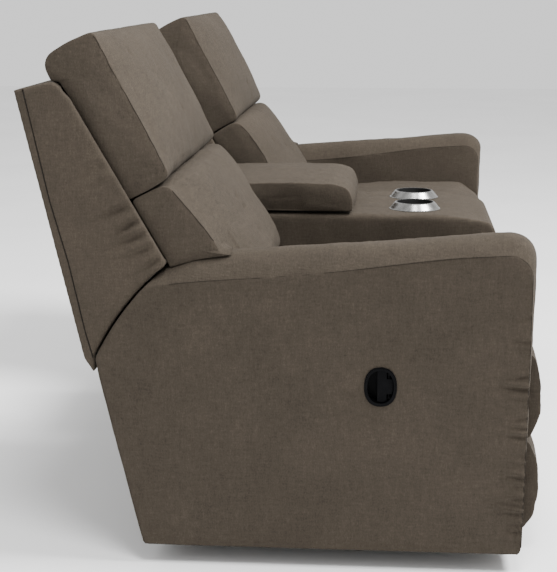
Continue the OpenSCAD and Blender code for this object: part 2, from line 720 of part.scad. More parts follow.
module storage_bin() {
  color(black) difference() {
    union() {
      translate([-bin_x + hair, bin_y0 + hair, console_h - bin_depth])
        cube([2 * bin_x - 2 * hair, bin_y1 - bin_y0 - 2 * hair, bin_depth + 1]);
      translate([-bin_x - 8, bin_y0 - 8, console_h])
        cube([2 * bin_x + 16, bin_y1 - bin_y0 + 16, bin_lip_t]);
    }
    translate([-bin_x + bin_wall, bin_y0 + bin_wall, console_h - bin_depth + bin_wall])
      cube([2 * bin_x - 2 * bin_wall, bin_y1 - bin_y0 - 2 * bin_wall, bin_depth + 10]);
  }
}

module cup_wells() {
  top = console_h + rim_h - 1;
  color(black) for (e = [-1, 1])
    translate([e * cup_pitch / 2, -cup_y, top]) difference() {
      translate([0, 0, -cup_depth]) cylinder(h = cup_depth, r = cup_r + 2);
      translate([0, 0, -cup_depth + 3]) cylinder(h = cup_depth, r = cup_r);
    }
}

module cup_rims() {
  color("#c9cbcd") for (e = [-1, 1])
    translate([e * cup_pitch / 2, -cup_y, console_h]) rotate_extrude() polygon([
      [cup_r + 2.1, 0], [rim_r, 0], [rim_r, 1.2], [rim_r - 2, 2.6], [cup_r + 6, rim_h - 1.5],
      [cup_r + 3.6, rim_h], [cup_r + 2.1, rim_h]]);
}

// Lid: a board with a stuffed pad, on a continuous hinge
lid_gap = 3.3;
lid_z = console_h + lid_gap;
lid_board_t = 10;
lid_rear = lid_hinge_y - 8;
lid_edge_in = 9;
hinge_r = 5;
leaf_t = 1.5;
hinge_z = console_h + hinge_r + 0.3;
knuckle = (2 * console_x - 40) / 7;

module lid_board() {
  color(timber) translate([-console_x + lid_edge_in, -lid_front + lid_edge_in + 14, lid_z])
    cube([2 * (console_x - lid_edge_in), lid_rear + lid_front - lid_edge_in - 14, lid_board_t]);
}

module lid_pad() {
  len_y = lid_rear + lid_front;
  low = lid_z + lid_board_t + hair;
  h = console_h + lid_rise - low;
  profile = rounded([[0, 0, 6], [len_y - 4, 0, 8], [len_y, h * 0.36, 16], [len_y - 42, h - 2, 28],
    [len_y * 0.5, h, 80], [0, h - 3, 14]], 4);
  color(fabric) leaning_cushion(profile, [lid_rear, low], 0, -console_x, console_x, 9, 1, 0);
}

// Hinge knuckles, every second one on each leaf
module knuckles(parity) {
  for (i = [0 : 6]) if (i % 2 == parity)
    translate([-console_x + 20 + knuckle * i + 0.5, lid_hinge_y, hinge_z]) rotate([0, 90, 0])
      cylinder(h = knuckle - 1, r = hinge_r);
}

module lid_hinge_base() {
  color(metal) union() {
    difference() {
      union() {
        knuckles(0);
        for (i = [0, 2, 4, 6])
          translate([-console_x + 20 + knuckle * i + 0.5, lid_hinge_y, console_h + 0.01])
            cube([knuckle - 1, 26, leaf_t]);
      }
      translate([-console_x + 20, lid_hinge_y, hinge_z]) rotate([0, 90, 0])
        cylinder(h = 7 * knuckle, r = 2);
    }
    translate([-console_x + 20.5, lid_hinge_y, hinge_z]) rotate([0, 90, 0])
      cylinder(h = 7 * knuckle - 1, r = 2);
  }
}

module lid_hinge_leaf() {
  color(metal) difference() {
    union() {
      knuckles(1);
      for (i = [1, 3, 5])
        translate([-console_x + 20 + knuckle * i + 0.5, lid_rear - 24, lid_z - leaf_t])
          cube([knuckle - 1, lid_hinge_y - lid_rear + 24, leaf_t]);
    }
    translate([-console_x, lid_hinge_y, hinge_z]) rotate([0, 90, 0])
      cylinder(h = 2 * console_x, r = 2 + pin_clear);
  }
}

// Base: two cross rails on eight feet
rail_front_y = -340;
rail_rear_y = 200;

module base_rails() {
  color(timber) for (y = [rail_front_y, rail_rear_y])
    translate([-wall_x, y, arm_bottom]) cube([2 * wall_x, rail_w, rail_h]);
}

module feet() {
  color(black) for (y = [rail_front_y, rail_rear_y])
    for (x = [wall_x - 36, console_x - 40]) for (e = [-1, 1])
      translate([e * x, y + rail_w / 2, 0]) union() {
        cylinder(h = 8, r = foot_r);
        cylinder(h = arm_bottom, r = foot_r - 5);
      }
}

module left() {
  mirror([1, 0, 0]) children();
}

arm_frame();  // right_arm_frame
left() arm_frame();  // left_arm_frame
arm_cover();  // right_arm_cover
left() arm_cover();  // left_arm_cover
handle_bezel();  // right_handle_bezel
left() handle_bezel();  // left_handle_bezel
release_paddle();  // right_release_paddle
left() release_paddle();  // left_release_paddle
release_cable();  // right_release_cable
left() release_cable();  // left_release_cable
side_plates();  // right_side_plates
left() side_plates();  // left_side_plates
seat_frame();  // right_seat_frame
left() seat_frame();  // left_seat_frame
seat_springs();  // right_seat_springs
left() seat_springs();  // left_seat_springs
seat_cushion();  // right_seat_cushion
left() seat_cushion();  // left_seat_cushion
rear_apron();  // right_rear_apron
left() rear_apron();  // left_rear_apron
back_frame();  // right_back_frame
left() back_frame();  // left_back_frame
back_brackets();  // right_back_brackets
left() back_brackets();  // left_back_brackets
back_shell();  // right_back_shell
left() back_shell();  // left_back_shell
headrest();  // right_headrest
left() headrest();  // left_headrest
lumbar_cushion();  // right_lumbar_cushion
left() lumbar_cushion();  // left_lumbar_cushion
drive_links();  // right_drive_links
left() drive_links();  // left_drive_links
front_links();  // right_front_links
left() front_links();  // left_front_links
lift_links();  // right_lift_links
left() lift_links();  // left_lift_links
top_links();  // right_top_links
left() top_links();  // left_top_links
footrest_brackets();  // right_footrest_brackets
left() footrest_brackets();  // left_footrest_brackets
footrest_board();  // right_footrest_board
left() footrest_board();  // left_footrest_board
footrest_pad(pad_seam + 1, seat_base_h, 9);  // right_upper_pad
left() footrest_pad(pad_seam + 1, seat_base_h, 9);  // left_upper_pad
footrest_pad(pad_low, pad_seam - 1, 9);  // right_lower_pad
left() footrest_pad(pad_low, pad_seam - 1, 9);  // left_lower_pad
base_rails();
feet();
console_frame();
console_cover();
storage_bin();
cup_wells();
cup_rims();
lid_board();
lid_pad();
lid_hinge_base();
lid_hinge_leaf();
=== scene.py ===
import json
import math

import bmesh
import bpy
import numpy as np
from mathutils import Matrix, Vector
from mathutils.kdtree import KDTree


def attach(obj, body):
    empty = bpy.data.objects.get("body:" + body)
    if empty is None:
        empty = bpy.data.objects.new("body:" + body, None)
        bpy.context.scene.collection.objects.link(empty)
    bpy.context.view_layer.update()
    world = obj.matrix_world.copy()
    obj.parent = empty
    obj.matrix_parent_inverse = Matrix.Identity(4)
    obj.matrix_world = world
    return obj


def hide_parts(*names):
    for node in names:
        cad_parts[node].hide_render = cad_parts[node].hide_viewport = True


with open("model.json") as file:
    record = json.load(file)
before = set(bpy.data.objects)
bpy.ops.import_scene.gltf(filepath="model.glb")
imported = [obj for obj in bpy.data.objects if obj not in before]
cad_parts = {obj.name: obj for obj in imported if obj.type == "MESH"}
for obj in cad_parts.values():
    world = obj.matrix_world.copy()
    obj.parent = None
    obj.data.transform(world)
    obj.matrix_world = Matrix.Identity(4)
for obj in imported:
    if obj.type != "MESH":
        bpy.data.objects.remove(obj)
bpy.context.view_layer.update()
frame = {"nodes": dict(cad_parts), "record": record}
NODES = frame["nodes"]
SCENE = bpy.context.scene
SIDES = (("right", -1), ("left", 1))

# Values repeated from the part's source, in millimetres
CONSOLE_X, WALL_X, OUTER_X = 197.0, 855.0, 965.0
ARM_MIDDLE, ARM_HALF = (WALL_X + OUTER_X) / 2, (OUTER_X - WALL_X) / 2
ARM_BOTTOM, ARM_FRONT, ARM_FRONT_H, ARM_DROP, ARM_NOSE_R = 38.0, 457.0, 611.0, 68.0, 42.0
ARC_Y, ARC_Z, ARC_R = -114.0, 183.0, 516.0     # the arc at the arm's rear top
LEAN = math.radians(29.8)
BACK_Y, BACK_Z = 217.0, 580.0                  # where the back frame's u and v are 0
SHELL_OUT, SHELL_IN = 959.0, 226.0
SHELL_SLOPE = 0.2331                           # the outside back's lean, y for z
CUSHION_X0, CUSHION_X1 = -940.0, -242.0
HEADREST_U = 137.0
HANDLE_Y, HANDLE_Z, RECESS_W, RECESS_H = -183.5, 361.0, 49.0, 63.0
LID_Z, CONSOLE_TOP = 568.0, 555.0
CUP_X, CUP_Y = 98.0, -254.0

# Choices of this script: how far padding lifts the arm's top and pushes its front, the gap between
# a lumbar cushion's wing and the arm, both in millimetres, and the radii of seams in metres
ARM_CROWN, ARM_PUSH = 28.0, 10.0
WING_GAP = 2.0
SEAM_R, WELT_R, SHELL_SEAM_R = 0.0006, 0.0007, 0.0012


# ---------------------------------------------------------------- camera

CAMERA_AT, CAMERA_FORWARD = (-3.5711, -0.1996, 1.0954), (0.97583, 0.07714, -0.20450)
CAMERA_LENS, CAMERA_SENSOR = 91.35, 36.0


def set_camera():
    data = bpy.data.cameras.new("camera")
    data.sensor_fit = "AUTO"
    data.sensor_width = CAMERA_SENSOR
    data.lens = CAMERA_LENS
    data.clip_end = 60.0
    camera = bpy.data.objects.new("camera", data)
    SCENE.collection.objects.link(camera)
    forward = Vector(CAMERA_FORWARD).normalized()
    right = forward.cross(Vector((0, 0, 1))).normalized()
    up = right.cross(forward).normalized()
    m = Matrix((right, up, -forward)).transposed().to_4x4()
    m.translation = Vector(CAMERA_AT)
    camera.matrix_world = m
    SCENE.camera = camera


# ---------------------------------------------------------------- materials

class Nodes:
    """Short calls for building a material's node tree."""

    def __init__(self, name):
        self.mat = bpy.data.materials.new(name)
        self.mat.use_nodes = True
        self.tree = self.mat.node_tree
        self.shader = self.tree.nodes["Principled BSDF"]

    def new(self, kind, ins=(), **props):
        node = self.tree.nodes.new(kind)
        for k, v in props.items():
            setattr(node, k, v)
        for key, value in dict(ins).items():
            self.put(node.inputs[key], value)
        return node

    def put(self, socket, value):
        if isinstance(value, bpy.types.NodeSocket):
            self.tree.links.new(value, socket)
        else:
            socket.default_value = value

    def set(self, **values):
        for key, value in values.items():
            self.put(self.shader.inputs[key.replace("_", " ")], value)

    def at(self):
        return self.new("ShaderNodeTexCoord").outputs["Object"]

    def math(self, op, a, b=0.0, c=0.0):
        return self.new("ShaderNodeMath", {0: a, 1: b, 2: c}, operation=op).outputs[0]

    def vec(self, op, a, b=(0, 0, 0)):
        node = self.new("ShaderNodeVectorMath", {0: a, 1: b}, operation=op)
        return node.outputs["Value"] if op == "DOT_PRODUCT" else node.outputs["Vector"]

    def noise(self, at, scale, detail=2.0, rough=0.5, stretch=(1, 1, 1)):
        at = self.vec("MULTIPLY", at, stretch)
        return self.new("ShaderNodeTexNoise", {"Vector": at, "Scale": scale, "Detail": detail,
                                               "Roughness": rough}).outputs["Fac"]

    def ramp(self, fac, *stops):
        node = self.new("ShaderNodeValToRGB", {"Fac": fac})
        el = node.color_ramp.elements
        while len(el) < len(stops):
            el.new(0.5)
        for e, (p, c) in zip(el, stops):
            e.position = p
            e.color = (*c, 1)
        return node.outputs["Color"]

    def bump(self, height, distance, strength=1.0):
        return self.new("ShaderNodeBump", {"Height": height, "Distance": distance,
                                           "Strength": strength}).outputs["Normal"]


def tint(c, k):
    return tuple(min(1.0, x * k) for x in c)


def weave(n, at, pitch):
    """A basket weave that looks the same on planes of any direction."""
    p = n.vec("MULTIPLY", at, (2 * math.pi / pitch,) * 3)
    sep = n.new("ShaderNodeSeparateXYZ", {0: p})
    turned = n.new("ShaderNodeCombineXYZ",
                   {0: sep.outputs[1], 1: sep.outputs[2], 2: sep.outputs[0]})
    quarter = n.vec("ADD", turned.outputs[0], (math.pi / 2,) * 3)
    return n.vec("DOT_PRODUCT", n.vec("SINE", p), n.vec("SINE", quarter))


WEAVE_PITCH = 0.0021


def fabric(name, base, sheen=0.035):
    """Woven cloth: yarns of different tone, slubs along and across, and a faint cloudiness."""
    n = Nodes(name)
    at = n.at()
    yarn = n.noise(at, 430, 3.0, 0.65, (0.5, 1, 0.65))
    slub = n.math("MULTIPLY_ADD", n.noise(at, 150, 2.0, 0.6, (0.3, 0.36, 1.7)), 0.5,
                  n.math("MULTIPLY", n.noise(at, 140, 2.0, 0.6, (0.3, 1.7, 0.36)), 0.5))
    cloud = n.noise(at, 9, 3.0, 0.55, (0.5, 1, 1))
    cloth = weave(n, at, WEAVE_PITCH)
    mix = n.math("MULTIPLY_ADD", yarn, 0.42,
                 n.math("MULTIPLY_ADD", slub, 0.40, n.math("MULTIPLY", cloud, 0.18)))
    colour = n.ramp(mix, (0.36, tint(base, 0.66)), (0.47, tint(base, 0.94)),
                    (0.54, tint(base, 1.06)), (0.65, tint(base, 1.42)))
    height = n.math("MULTIPLY_ADD", cloth, 0.22, n.math("MULTIPLY", yarn, 1.1))
    n.set(Base_Color=colour, Roughness=0.92, Specular_IOR_Level=0.14, Sheen_Weight=sheen,
          Sheen_Roughness=0.45, Sheen_Tint=(0.86, 0.76, 0.64, 1),
          Normal=n.bump(height, 0.0007, 0.75))
    return n.mat


def plastic(name, base, rough, grain=0.0, shine=0.45):
    """Moulded plastic with uneven wear, and a fine grain if grain is given."""
    n = Nodes(name)
    at = n.at()
    wear = n.noise(at, 60, 4.0, 0.6)
    n.set(Base_Color=n.ramp(wear, (0.3, tint(base, 0.8)), (0.7, tint(base, 1.35))),
          Roughness=n.math("MULTIPLY_ADD", wear, 0.16, rough - 0.08), Specular_IOR_Level=shine)
    if grain:
        n.set(Normal=n.bump(n.noise(at, 1400, 2.0), 0.0003, grain))
    return n.mat


def steel(name, base, rough, stretch, haze=(26, (1, 1, 1), 0.86)):
    """Steel with fine lines along stretch; haze is its stains' scale, stretch and darkest tone."""
    n = Nodes(name)
    at = n.at()
    scale, drawn, deep = haze
    lines = n.noise(at, 240, 3.0, 0.6, stretch)
    stain = n.noise(at, scale, 3.0, 0.5, drawn)
    n.set(Base_Color=n.ramp(stain, (0.38, tint(base, deep)), (0.62, tint(base, 2.0 - deep))),
          Metallic=1.0, Roughness=n.math("MULTIPLY_ADD", lines, 0.2, rough - 0.1),
          Normal=n.bump(lines, 0.0002, 0.35))
    return n.mat


def timber(name, base):
    """Stained timber with its grain along X."""
    n = Nodes(name)
    at = n.at()
    bend = n.vec("ADD", n.vec("MULTIPLY", at, (1.0, 14.0, 9.0)), n.noise(at, 3.0, 2.0))
    grain = n.noise(bend, 5.0, 6.0, 0.62)
    pores = n.noise(at, 600, 2.0, 0.6, (0.12, 1, 1))
    mix = n.math("MULTIPLY_ADD", grain, 0.8, n.math("MULTIPLY", pores, 0.2))
    n.set(Base_Color=n.ramp(mix, (0.3, tint(base, 0.55)), (0.5, base), (0.72, tint(base, 1.28))),
          Roughness=0.66, Normal=n.bump(mix, 0.0006, 0.5))
    return n.mat


UPHOLSTERY = (0.0420, 0.0337, 0.0252)
MAT = {
    "upholstery": fabric("upholstery_cloth", UPHOLSTERY),
    # painted light: the same upholstery cloth made 12% lighter, standing in for the stronger light
    # that falls on the back shells' sides
    "upholstery_outside": fabric("outside_cloth_painted_lighter", tint(UPHOLSTERY, 1.12)),
    # painted shade: a near-black copy of the cloth, for the shade in the grooves of the sewn seams
    "seam": fabric("seam_shade_line", tint(UPHOLSTERY, 0.2), 0.02),
    # painted shade: the cloth at 45% for the welt, darker for the shade along the arms' seams
    "welt": fabric("welt_cloth_painted_shade", tint(UPHOLSTERY, 0.45), 0.02),
    # near-black dust cloth, which on the lid board is also painted shade of the gap under the lid
    # pad
    "lining": fabric("dust_cloth_and_gap_shade", (0.009, 0.0085, 0.008), 0.02),
    "timber": timber("stained_timber", (0.115, 0.074, 0.043)),
    "mechanism_steel": steel("zinc_plate", (0.42, 0.43, 0.44), 0.38, (1, 1, 0.2)),
    "spring_steel": steel("oiled_wire", (0.12, 0.12, 0.125), 0.34, (1, 0.2, 1)),
    "handle_plastic": plastic("bezel_plastic", (0.0025, 0.0025, 0.0028), 0.42, 0.0, 0.035),
    "paddle_plastic": plastic("paddle_plastic", (0.0026, 0.0026, 0.003), 0.5, 0.2, 0.035),
    "cable_sleeve": plastic("cable_sleeve", (0.012, 0.012, 0.012), 0.5),
    "foot_plastic": plastic("foot_plastic", (0.018, 0.018, 0.018), 0.55, 0.4),
    "bin_plastic": plastic("bin_plastic", (0.014, 0.014, 0.015), 0.5, 0.4),
    "cup_plastic": plastic("cup_plastic", (0.004, 0.004, 0.004), 0.5),
    "cup_steel": steel("satin_stainless", (0.25, 0.247, 0.24), 0.27, (1, 1, 0.1),
                       haze=(70, (1, 1, 0.08), 0.82)),
}

# Boards that the leg rest and the lid show when they open, covered with near-black dust cloth
# underneath; on the lid board, which shows below the pad's side, the near-black is also painted
# shade for the gap under the pad
LINED = ("lid_board", "right_footrest_board", "left_footrest_board")


def finish_nodes():
    """Gives each CAD node the material of its slot in the record."""
    for part in frame["record"]["subparts"]:
        node = NODES[part["node"]]
        slot = "lining" if part["node"] in LINED else part["material_slot"]
        if not node.material_slots:
            node.data.materials.append(None)
        for used in node.material_slots:
            used.material = MAT[slot]


# ---------------------------------------------------------------- mesh helpers

def unit(v):
    return v / max(1e-12, float(np.linalg.norm(v)))


def rounded(corners, steps=8):
    """Closed outline through corners (a, b, radius), each one turned on an arc."""
    out, n = [], len(corners)
    for i in range(n):
        p, q, s = (np.array(corners[j % n][:2], float) for j in (i - 1, i, i + 1))
        r = corners[i][2]
        if r <= 0:
            out.append(q)
            continue
        a, b = unit(p - q), unit(s - q)
        half = math.acos(float(np.clip(a @ b, -1, 1))) / 2
        c = q + unit(a + b) * r / math.sin(half)
        g, h = q + a * r / math.tan(half), q + b * r / math.tan(half)
        for k in range(steps + 1):
            t = k / steps
            out.append(c + r * unit((g - c) * (1 - t) + (h - c) * t))
    return np.array(out)


def lengths(pts):
    """Distance of each point along its line."""
    return np.concatenate([[0], np.cumsum(np.linalg.norm(np.diff(pts, axis=0), axis=1))])


def along(pts, want):
    """Points at these distances along a line."""
    at = lengths(pts)
    return np.stack([np.interp(want, at, pts[:, k]) for k in range(pts.shape[1])], 1)


def spaced(pts, count):
    """This many evenly spaced points from end to end of a line."""
    pts = np.array(pts, float)
    return along(pts, np.linspace(0, lengths(pts)[-1], count))


def resample(outline, count):
    """A closed outline with this many evenly spaced points, or with points at these fractions."""
    ring = np.vstack([outline, outline[:1]])
    full = lengths(ring)[-1]
    if np.isscalar(count):
        return along(ring, np.linspace(0, full, count, endpoint=False))
    return along(ring, np.asarray(count) * full)


def make(name, verts, faces, material, smooth=True):
    """Mesh object from points in metres."""
    mesh = bpy.data.meshes.new(name)
    mesh.from_pydata([tuple(v) for v in verts], [], faces)
    mesh.validate()
    if smooth:
        mesh.polygons.foreach_set("use_smooth", [True] * len(mesh.polygons))
    mesh.materials.append(material)
    mesh.update()
    obj = bpy.data.objects.new(name, mesh)
    SCENE.collection.objects.link(obj)
    return obj


def capped(rings, cap_rings, bulge, centres=(None, None)):
    """Points and faces of a closed form through rings of X, Y, Z, with end panels bulging by bulge.

    The end panels close in on their centres (y, z), or else on the middle of their ring. The third
    value marks the points of the two end rings, where the seams are."""
    m, n = len(rings), len(rings[0])
    layers = [np.asarray(r, float) for r in rings]
    ends = []
    for ring, sign, given in ((layers[0], -1, centres[0]), (layers[-1], 1, centres[1])):
        centre = ring.mean(0)
        if given is not None:
            centre[1:] = given
        radius = np.min(np.linalg.norm(ring[:, 1:] - centre[1:], axis=1))
        panel = []
        for k in range(1, cap_rings + 1):
            rho = 1 - (k / (cap_rings + 0.6) if k > 1 else min(0.5, 3.0 / radius))
            new = centre + (ring - centre) * rho
            new[:, 0] += sign * bulge * (1 - rho ** 2.4)
            panel.append(new)
        ends.append(panel)
    order = list(reversed(ends[0])) + layers + ends[1]
    verts = np.vstack(order)
    faces = []
    for j in range(len(order) - 1):
        for i in range(n):
            a, b = j * n + i, j * n + (i + 1) % n
            faces.append((a, b, b + n, a + n))
    base = (len(order) - 1) * n
    for i in range(n // 2 - 1):
        faces.append((i + 1, i, n - 1 - i, n - 2 - i))
        faces.append((base + i, base + i + 1, base + n - 2 - i, base + n - 1 - i))
    seam = np.zeros(len(verts), bool)
    for j in (cap_rings, cap_rings + m - 1):
        seam[j * n:(j + 1) * n] = True
    return verts, faces, seam


def edit(mesh, change):
    """Passes the mesh through change(bm)."""
    bm = bmesh.new()
    bm.from_mesh(mesh)
    change(bm)
    bm.to_mesh(mesh)
    bm.free()


def outward(obj):
    """Turns the faces outward."""
    edit(obj.data, lambda bm: bmesh.ops.recalc_face_normals(bm, faces=bm.faces))


def read(obj):
    co = np.empty(len(obj.data.vertices) * 3)
    obj.data.vertices.foreach_get("co", co)
    return co.reshape(-1, 3)


def write(obj, co):
    obj.data.vertices.foreach_set("co", np.asarray(co, float).ravel())
    obj.data.update()


def normals(obj):
    out = np.empty(len(obj.data.vertices) * 3)
    obj.data.vertex_normals.foreach_get("vector", out)
    return out.reshape(-1, 3)


def bake(obj):
    """Applies the modifiers."""
    dg = bpy.context.evaluated_depsgraph_get()
    mesh = bpy.data.meshes.new_from_object(obj.evaluated_get(dg), depsgraph=dg)
    obj.modifiers.clear()
    old = obj.data
    obj.data = mesh
    bpy.data.meshes.remove(old)
    mesh.polygons.foreach_set("use_smooth", [True] * len(mesh.polygons))
    return obj


def lumps(p, wave, seed, stretch=(1, 1, 1)):
    """Smooth noise of about -1 to 1 at points p, from waves of about that length."""
    rng = np.random.default_rng(seed)
    q = p * np.array(stretch)
    out = np.zeros(len(p))
    for _ in range(10):
        d = unit(rng.normal(size=3))
        out += np.sin(q @ d * (2 * math.pi / wave) * rng.uniform(0.6, 1.7) + rng.uniform(0, 6.3))
    return out / 3.4


def creases(p, wave, seed, stretch=(1, 1, 1)):
    """Thin lines, 0 to 1, along the places where smooth noise is zero."""
    return np.clip(1 - np.abs(lumps(p, wave, seed, stretch)) * 3.0, 0, 1) ** 2


def gathers(spot, away, lo, hi, seed, gap, reach, widths=(0.0024, 0.0055)):
    """Short folds that run away from a seam: along it from lo to hi, fading with distance."""
    rng = np.random.default_rng(seed)
    out = np.zeros(len(spot))
    at = lo + rng.uniform(*gap)
    while at < hi:
        width = rng.uniform(*widths)
        length = rng.uniform(*reach)
        depth = rng.uniform(0.4, 1.0) * (1 if rng.random() < 0.3 else -1)
        tilt = rng.uniform(-0.12, 0.12)
        d = spot - at - tilt * away
        out += depth * np.exp(-(d / width) ** 2) * np.exp(-(away / length) ** 2)
        at += rng.uniform(*gap)
    return out


def near(d, width):
    """1 where d is 0, fading over about width."""
    return np.exp(-(d / width) ** 2)


def placed_folds(spot, away, folds, wide=1.0):
    """Folds at given places along a seam: (place, depth, reach) in millimetres, depth as a share.

    Each is a furrow with a ridge beside it, and every third one tilts the other way."""
    out = np.zeros(len(spot))
    for i, (at, depth, reach) in enumerate(folds):
        d = spot * 1000 - at - (0.10 if i % 3 else -0.14) * away * 1000
        fade = near(away * 1000, reach)
        out -= depth * fade * near(d, wide * (3.4 + 1.4 * depth))
        out += 0.7 * depth * fade * near(d - 8.5 * wide, 5.0 * wide)
    return out


def on_line(p, a, b, width):
    """1 on a short line from a to b, seen from above, 0 away from it."""
    a, b = np.array(a), np.array(b)
    t = np.clip((p[:, :2] - a) @ (b - a) / ((b - a) @ (b - a)), 0, 1)
    far = np.linalg.norm(p[:, :2] - a - t[:, None] * (b - a), axis=1)
    return near(far, width) * (1 - 0.6 * t)


CLOTH_FRAMES = 18
CLOTH = {"quality": 6, "mass": 0.35, "tension_stiffness": 18, "compression_stiffness": 18,
         "shear_stiffness": 8, "bending_stiffness": 1.2, "use_pressure": True}


def inflate(obj, pin, pressure, cap):
    """Cloth simulation: the cover swells under pressure, held where pin is true, by cap at most."""
    rest = read(obj)
    group = obj.vertex_groups.new(name="pin")
    group.add(np.nonzero(pin)[0].tolist(), 1.0, "REPLACE")
    mod = obj.modifiers.new("cloth", "CLOTH")
    for key, value in CLOTH.items():
        setattr(mod.settings, key, value)
    mod.settings.uniform_pressure_force = pressure
    mod.settings.effector_weights.gravity = 0
    mod.settings.vertex_group_mass = "pin"
    mod.collision_settings.use_collision = False
    mod.point_cache.frame_start, mod.point_cache.frame_end = 1, CLOTH_FRAMES
    for f in range(1, CLOTH_FRAMES + 1):
        SCENE.frame_set(f)
    dg = bpy.context.evaluated_depsgraph_get()
    ev = obj.evaluated_get(dg)
    co = np.empty(len(ev.data.vertices) * 3)
    ev.data.vertices.foreach_get("co", co)
    moved = co.reshape(-1, 3) - rest
    far = np.linalg.norm(moved, axis=1)
    moved *= (np.minimum(far, cap) / np.maximum(far, 1e-9))[:, None]
    obj.modifiers.clear()
    obj.vertex_groups.clear()
    SCENE.frame_set(1)
    write(obj, rest + moved)


def swell(obj, pin, pressure, cap):
    """Inflates the cover and makes its faces finer."""
    inflate(obj, pin, pressure, cap)
    m = obj.modifiers.new("sub", "SUBSURF")
    m.levels = m.render_levels = 1
    bake(obj)


def mirrored(obj, name):
    """A mirror copy across the middle of the console."""
    mesh = obj.data.copy()
    mesh.transform(Matrix.Scale(-1, 4, (1, 0, 0)))
    mesh.flip_normals()
    mesh.name = name
    copy = bpy.data.objects.new(name, mesh)
    SCENE.collection.objects.link(copy)
    return copy


def displace(obj, amount):
    """Moves each point along its normal, in metres."""
    write(obj, read(obj) + normals(obj) * amount[:, None])


def cloth_copy(node, voxel, rounds):
    """The CAD node's shape with its edges rounded as cloth over padding rounds them."""
    mesh = NODES[node].data.copy()
    edit(mesh, lambda bm: bmesh.ops.remove_doubles(bm, verts=bm.verts, dist=1e-6))
    mesh.materials.clear()
    obj = bpy.data.objects.new(node + "_cloth", mesh)
    SCENE.collection.objects.link(obj)
    m = obj.modifiers.new("remesh", "REMESH")
    m.mode = "VOXEL"
    m.voxel_size = voxel
    m.use_smooth_shade = True
    m = obj.modifiers.new("smooth", "SMOOTH")
    m.factor = 0.5
    m.iterations = rounds
    return bake(obj)


def tube(name, points, radius, material, body, sides=6):
    """A thin raised line along points in metres, riding on a body."""
    p = np.array(points, float)
    n = len(p)
    t = np.vstack([p[1:], p[-1:]]) - np.vstack([p[:1], p[:-1]])
    t /= np.maximum(np.linalg.norm(t, axis=1), 1e-9)[:, None]
    ref = np.where(np.abs(t[:, :1]) > 0.9, np.array([[0, 0, 1.0]]), np.array([[1.0, 0, 0]]))
    u = np.cross(t, ref)
    u /= np.maximum(np.linalg.norm(u, axis=1), 1e-9)[:, None]
    w = np.cross(t, u)
    verts = []
    for k in range(sides):
        a = 2 * math.pi * k / sides
        verts.append(p + radius * (math.cos(a) * u + math.sin(a) * w))
    verts = np.stack(verts, 1).reshape(-1, 3)
    faces = []
    for j in range(n - 1):
        for k in range(sides):
            a, b = j * sides + k, j * sides + (k + 1) % sides
            faces.append((a, b, b + sides, a + sides))
    faces.append(tuple(range(sides)))
    faces.append(tuple(reversed(range((n - 1) * sides, n * sides))))
    obj = make(name, verts, faces, material)
    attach(obj, body)


def place(obj, body, slot, *nodes, fill=None):
    """Rides and replaces its CAD nodes; fill is not used."""
    obj.data.materials.clear()
    obj.data.materials.append(MAT[slot])
    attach(obj, body)
    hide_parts(*nodes)


# ---------------------------------------------------------------- stuffed forms

def back_p(u, v):
    """Point (y, z) on the leaning back frame, u up along it and v forward, in millimetres."""
    return np.stack([BACK_Y + u * math.sin(LEAN) - v * math.cos(LEAN),
                     BACK_Z + u * math.cos(LEAN) + v * math.sin(LEAN)], -1)


def back_uv(p):
    """The same, backwards: metres in, millimetres out."""
    y, z = p[:, 1] * 1000 - BACK_Y, p[:, 2] * 1000 - BACK_Z
    return y * math.sin(LEAN) + z * math.cos(LEAN), -y * math.cos(LEAN) + z * math.sin(LEAN)


def stations(width, edge=(0, 2, 5, 10, 18, 30), step=12.0):
    """Places across a width, closer together near its ends, from -1 to 1."""
    inner = np.linspace(edge[-1], width - edge[-1], max(4, int((width - 2 * edge[-1]) / step)))
    at = np.concatenate([edge[:-1], inner, width - np.array(edge[:-1])[::-1]])
    return at / width * 2 - 1


def stuffed(name, outline, to_yz, x0, x1, count, crown, edge, bulge, cap, face=None, centre=None):
    """Box cushion: side panels of this outline (t forward, h up), and a crowned band between them.

    face(s, ring, q) gives further shifts of a ring, and centre is where the side panels close."""
    ring = resample(outline, count)
    lo, hi = ring.min(0), ring.max(0)
    mid, half = (lo + hi) / 2, (hi - lo) / 2
    q = (ring - mid) / half
    rings = []
    for s in stations(x1 - x0):
        full = 1 - abs(s) ** 3.2
        new = ring.copy()
        bow = crown * full - edge * (1 - full)
        new[:, 0] += np.clip(q[:, 0], 0, 1) ** 2 * (1 - q[:, 1] ** 4) * bow
        new[:, 1] += np.sign(q[:, 1]) * np.abs(q[:, 1]) ** 6 * edge * 0.7 * (full - 1)
        if face is not None:
            new += face(s, ring, q)
        yz = to_yz(new[:, 0], new[:, 1])
        x = np.full(len(yz), (x0 + x1) / 2 + s * (x1 - x0) / 2)
        rings.append(np.column_stack([x, yz]) / 1000)
    given = None if centre is None else to_yz(*centre)
    verts, faces, seam = capped(np.array(rings) * 1000, cap, bulge, (given, given))
    obj = make(name, verts / 1000, faces, MAT["upholstery"])
    outward(obj)
    return obj, seam


SEAM_ROUNDS = 20


def seam_line(obj, points, name, body):
    """A sunk line of near-black seam material, painted shade in the seam's groove, that follows the
    finished surface along points in metres.
    """
    tree = KDTree(len(obj.data.vertices))
    for v in obj.data.vertices:
        tree.insert(v.co, v.index)
    tree.balance()
    path = []
    for q in points:
        co, index, _ = tree.find(q)
        spot = co + obj.data.vertices[index].normal * SEAM_R * 0.25
        if not path or (spot - path[-1]).length > 0.002:
            path.append(spot)
    path = np.array([tuple(q) for q in path])
    for _ in range(SEAM_ROUNDS):
        path[1:-1] = (path[:-2] + 2 * path[1:-1] + path[2:]) / 4
    tube(name, path, SEAM_R, MAT["seam"], body, sides=5)


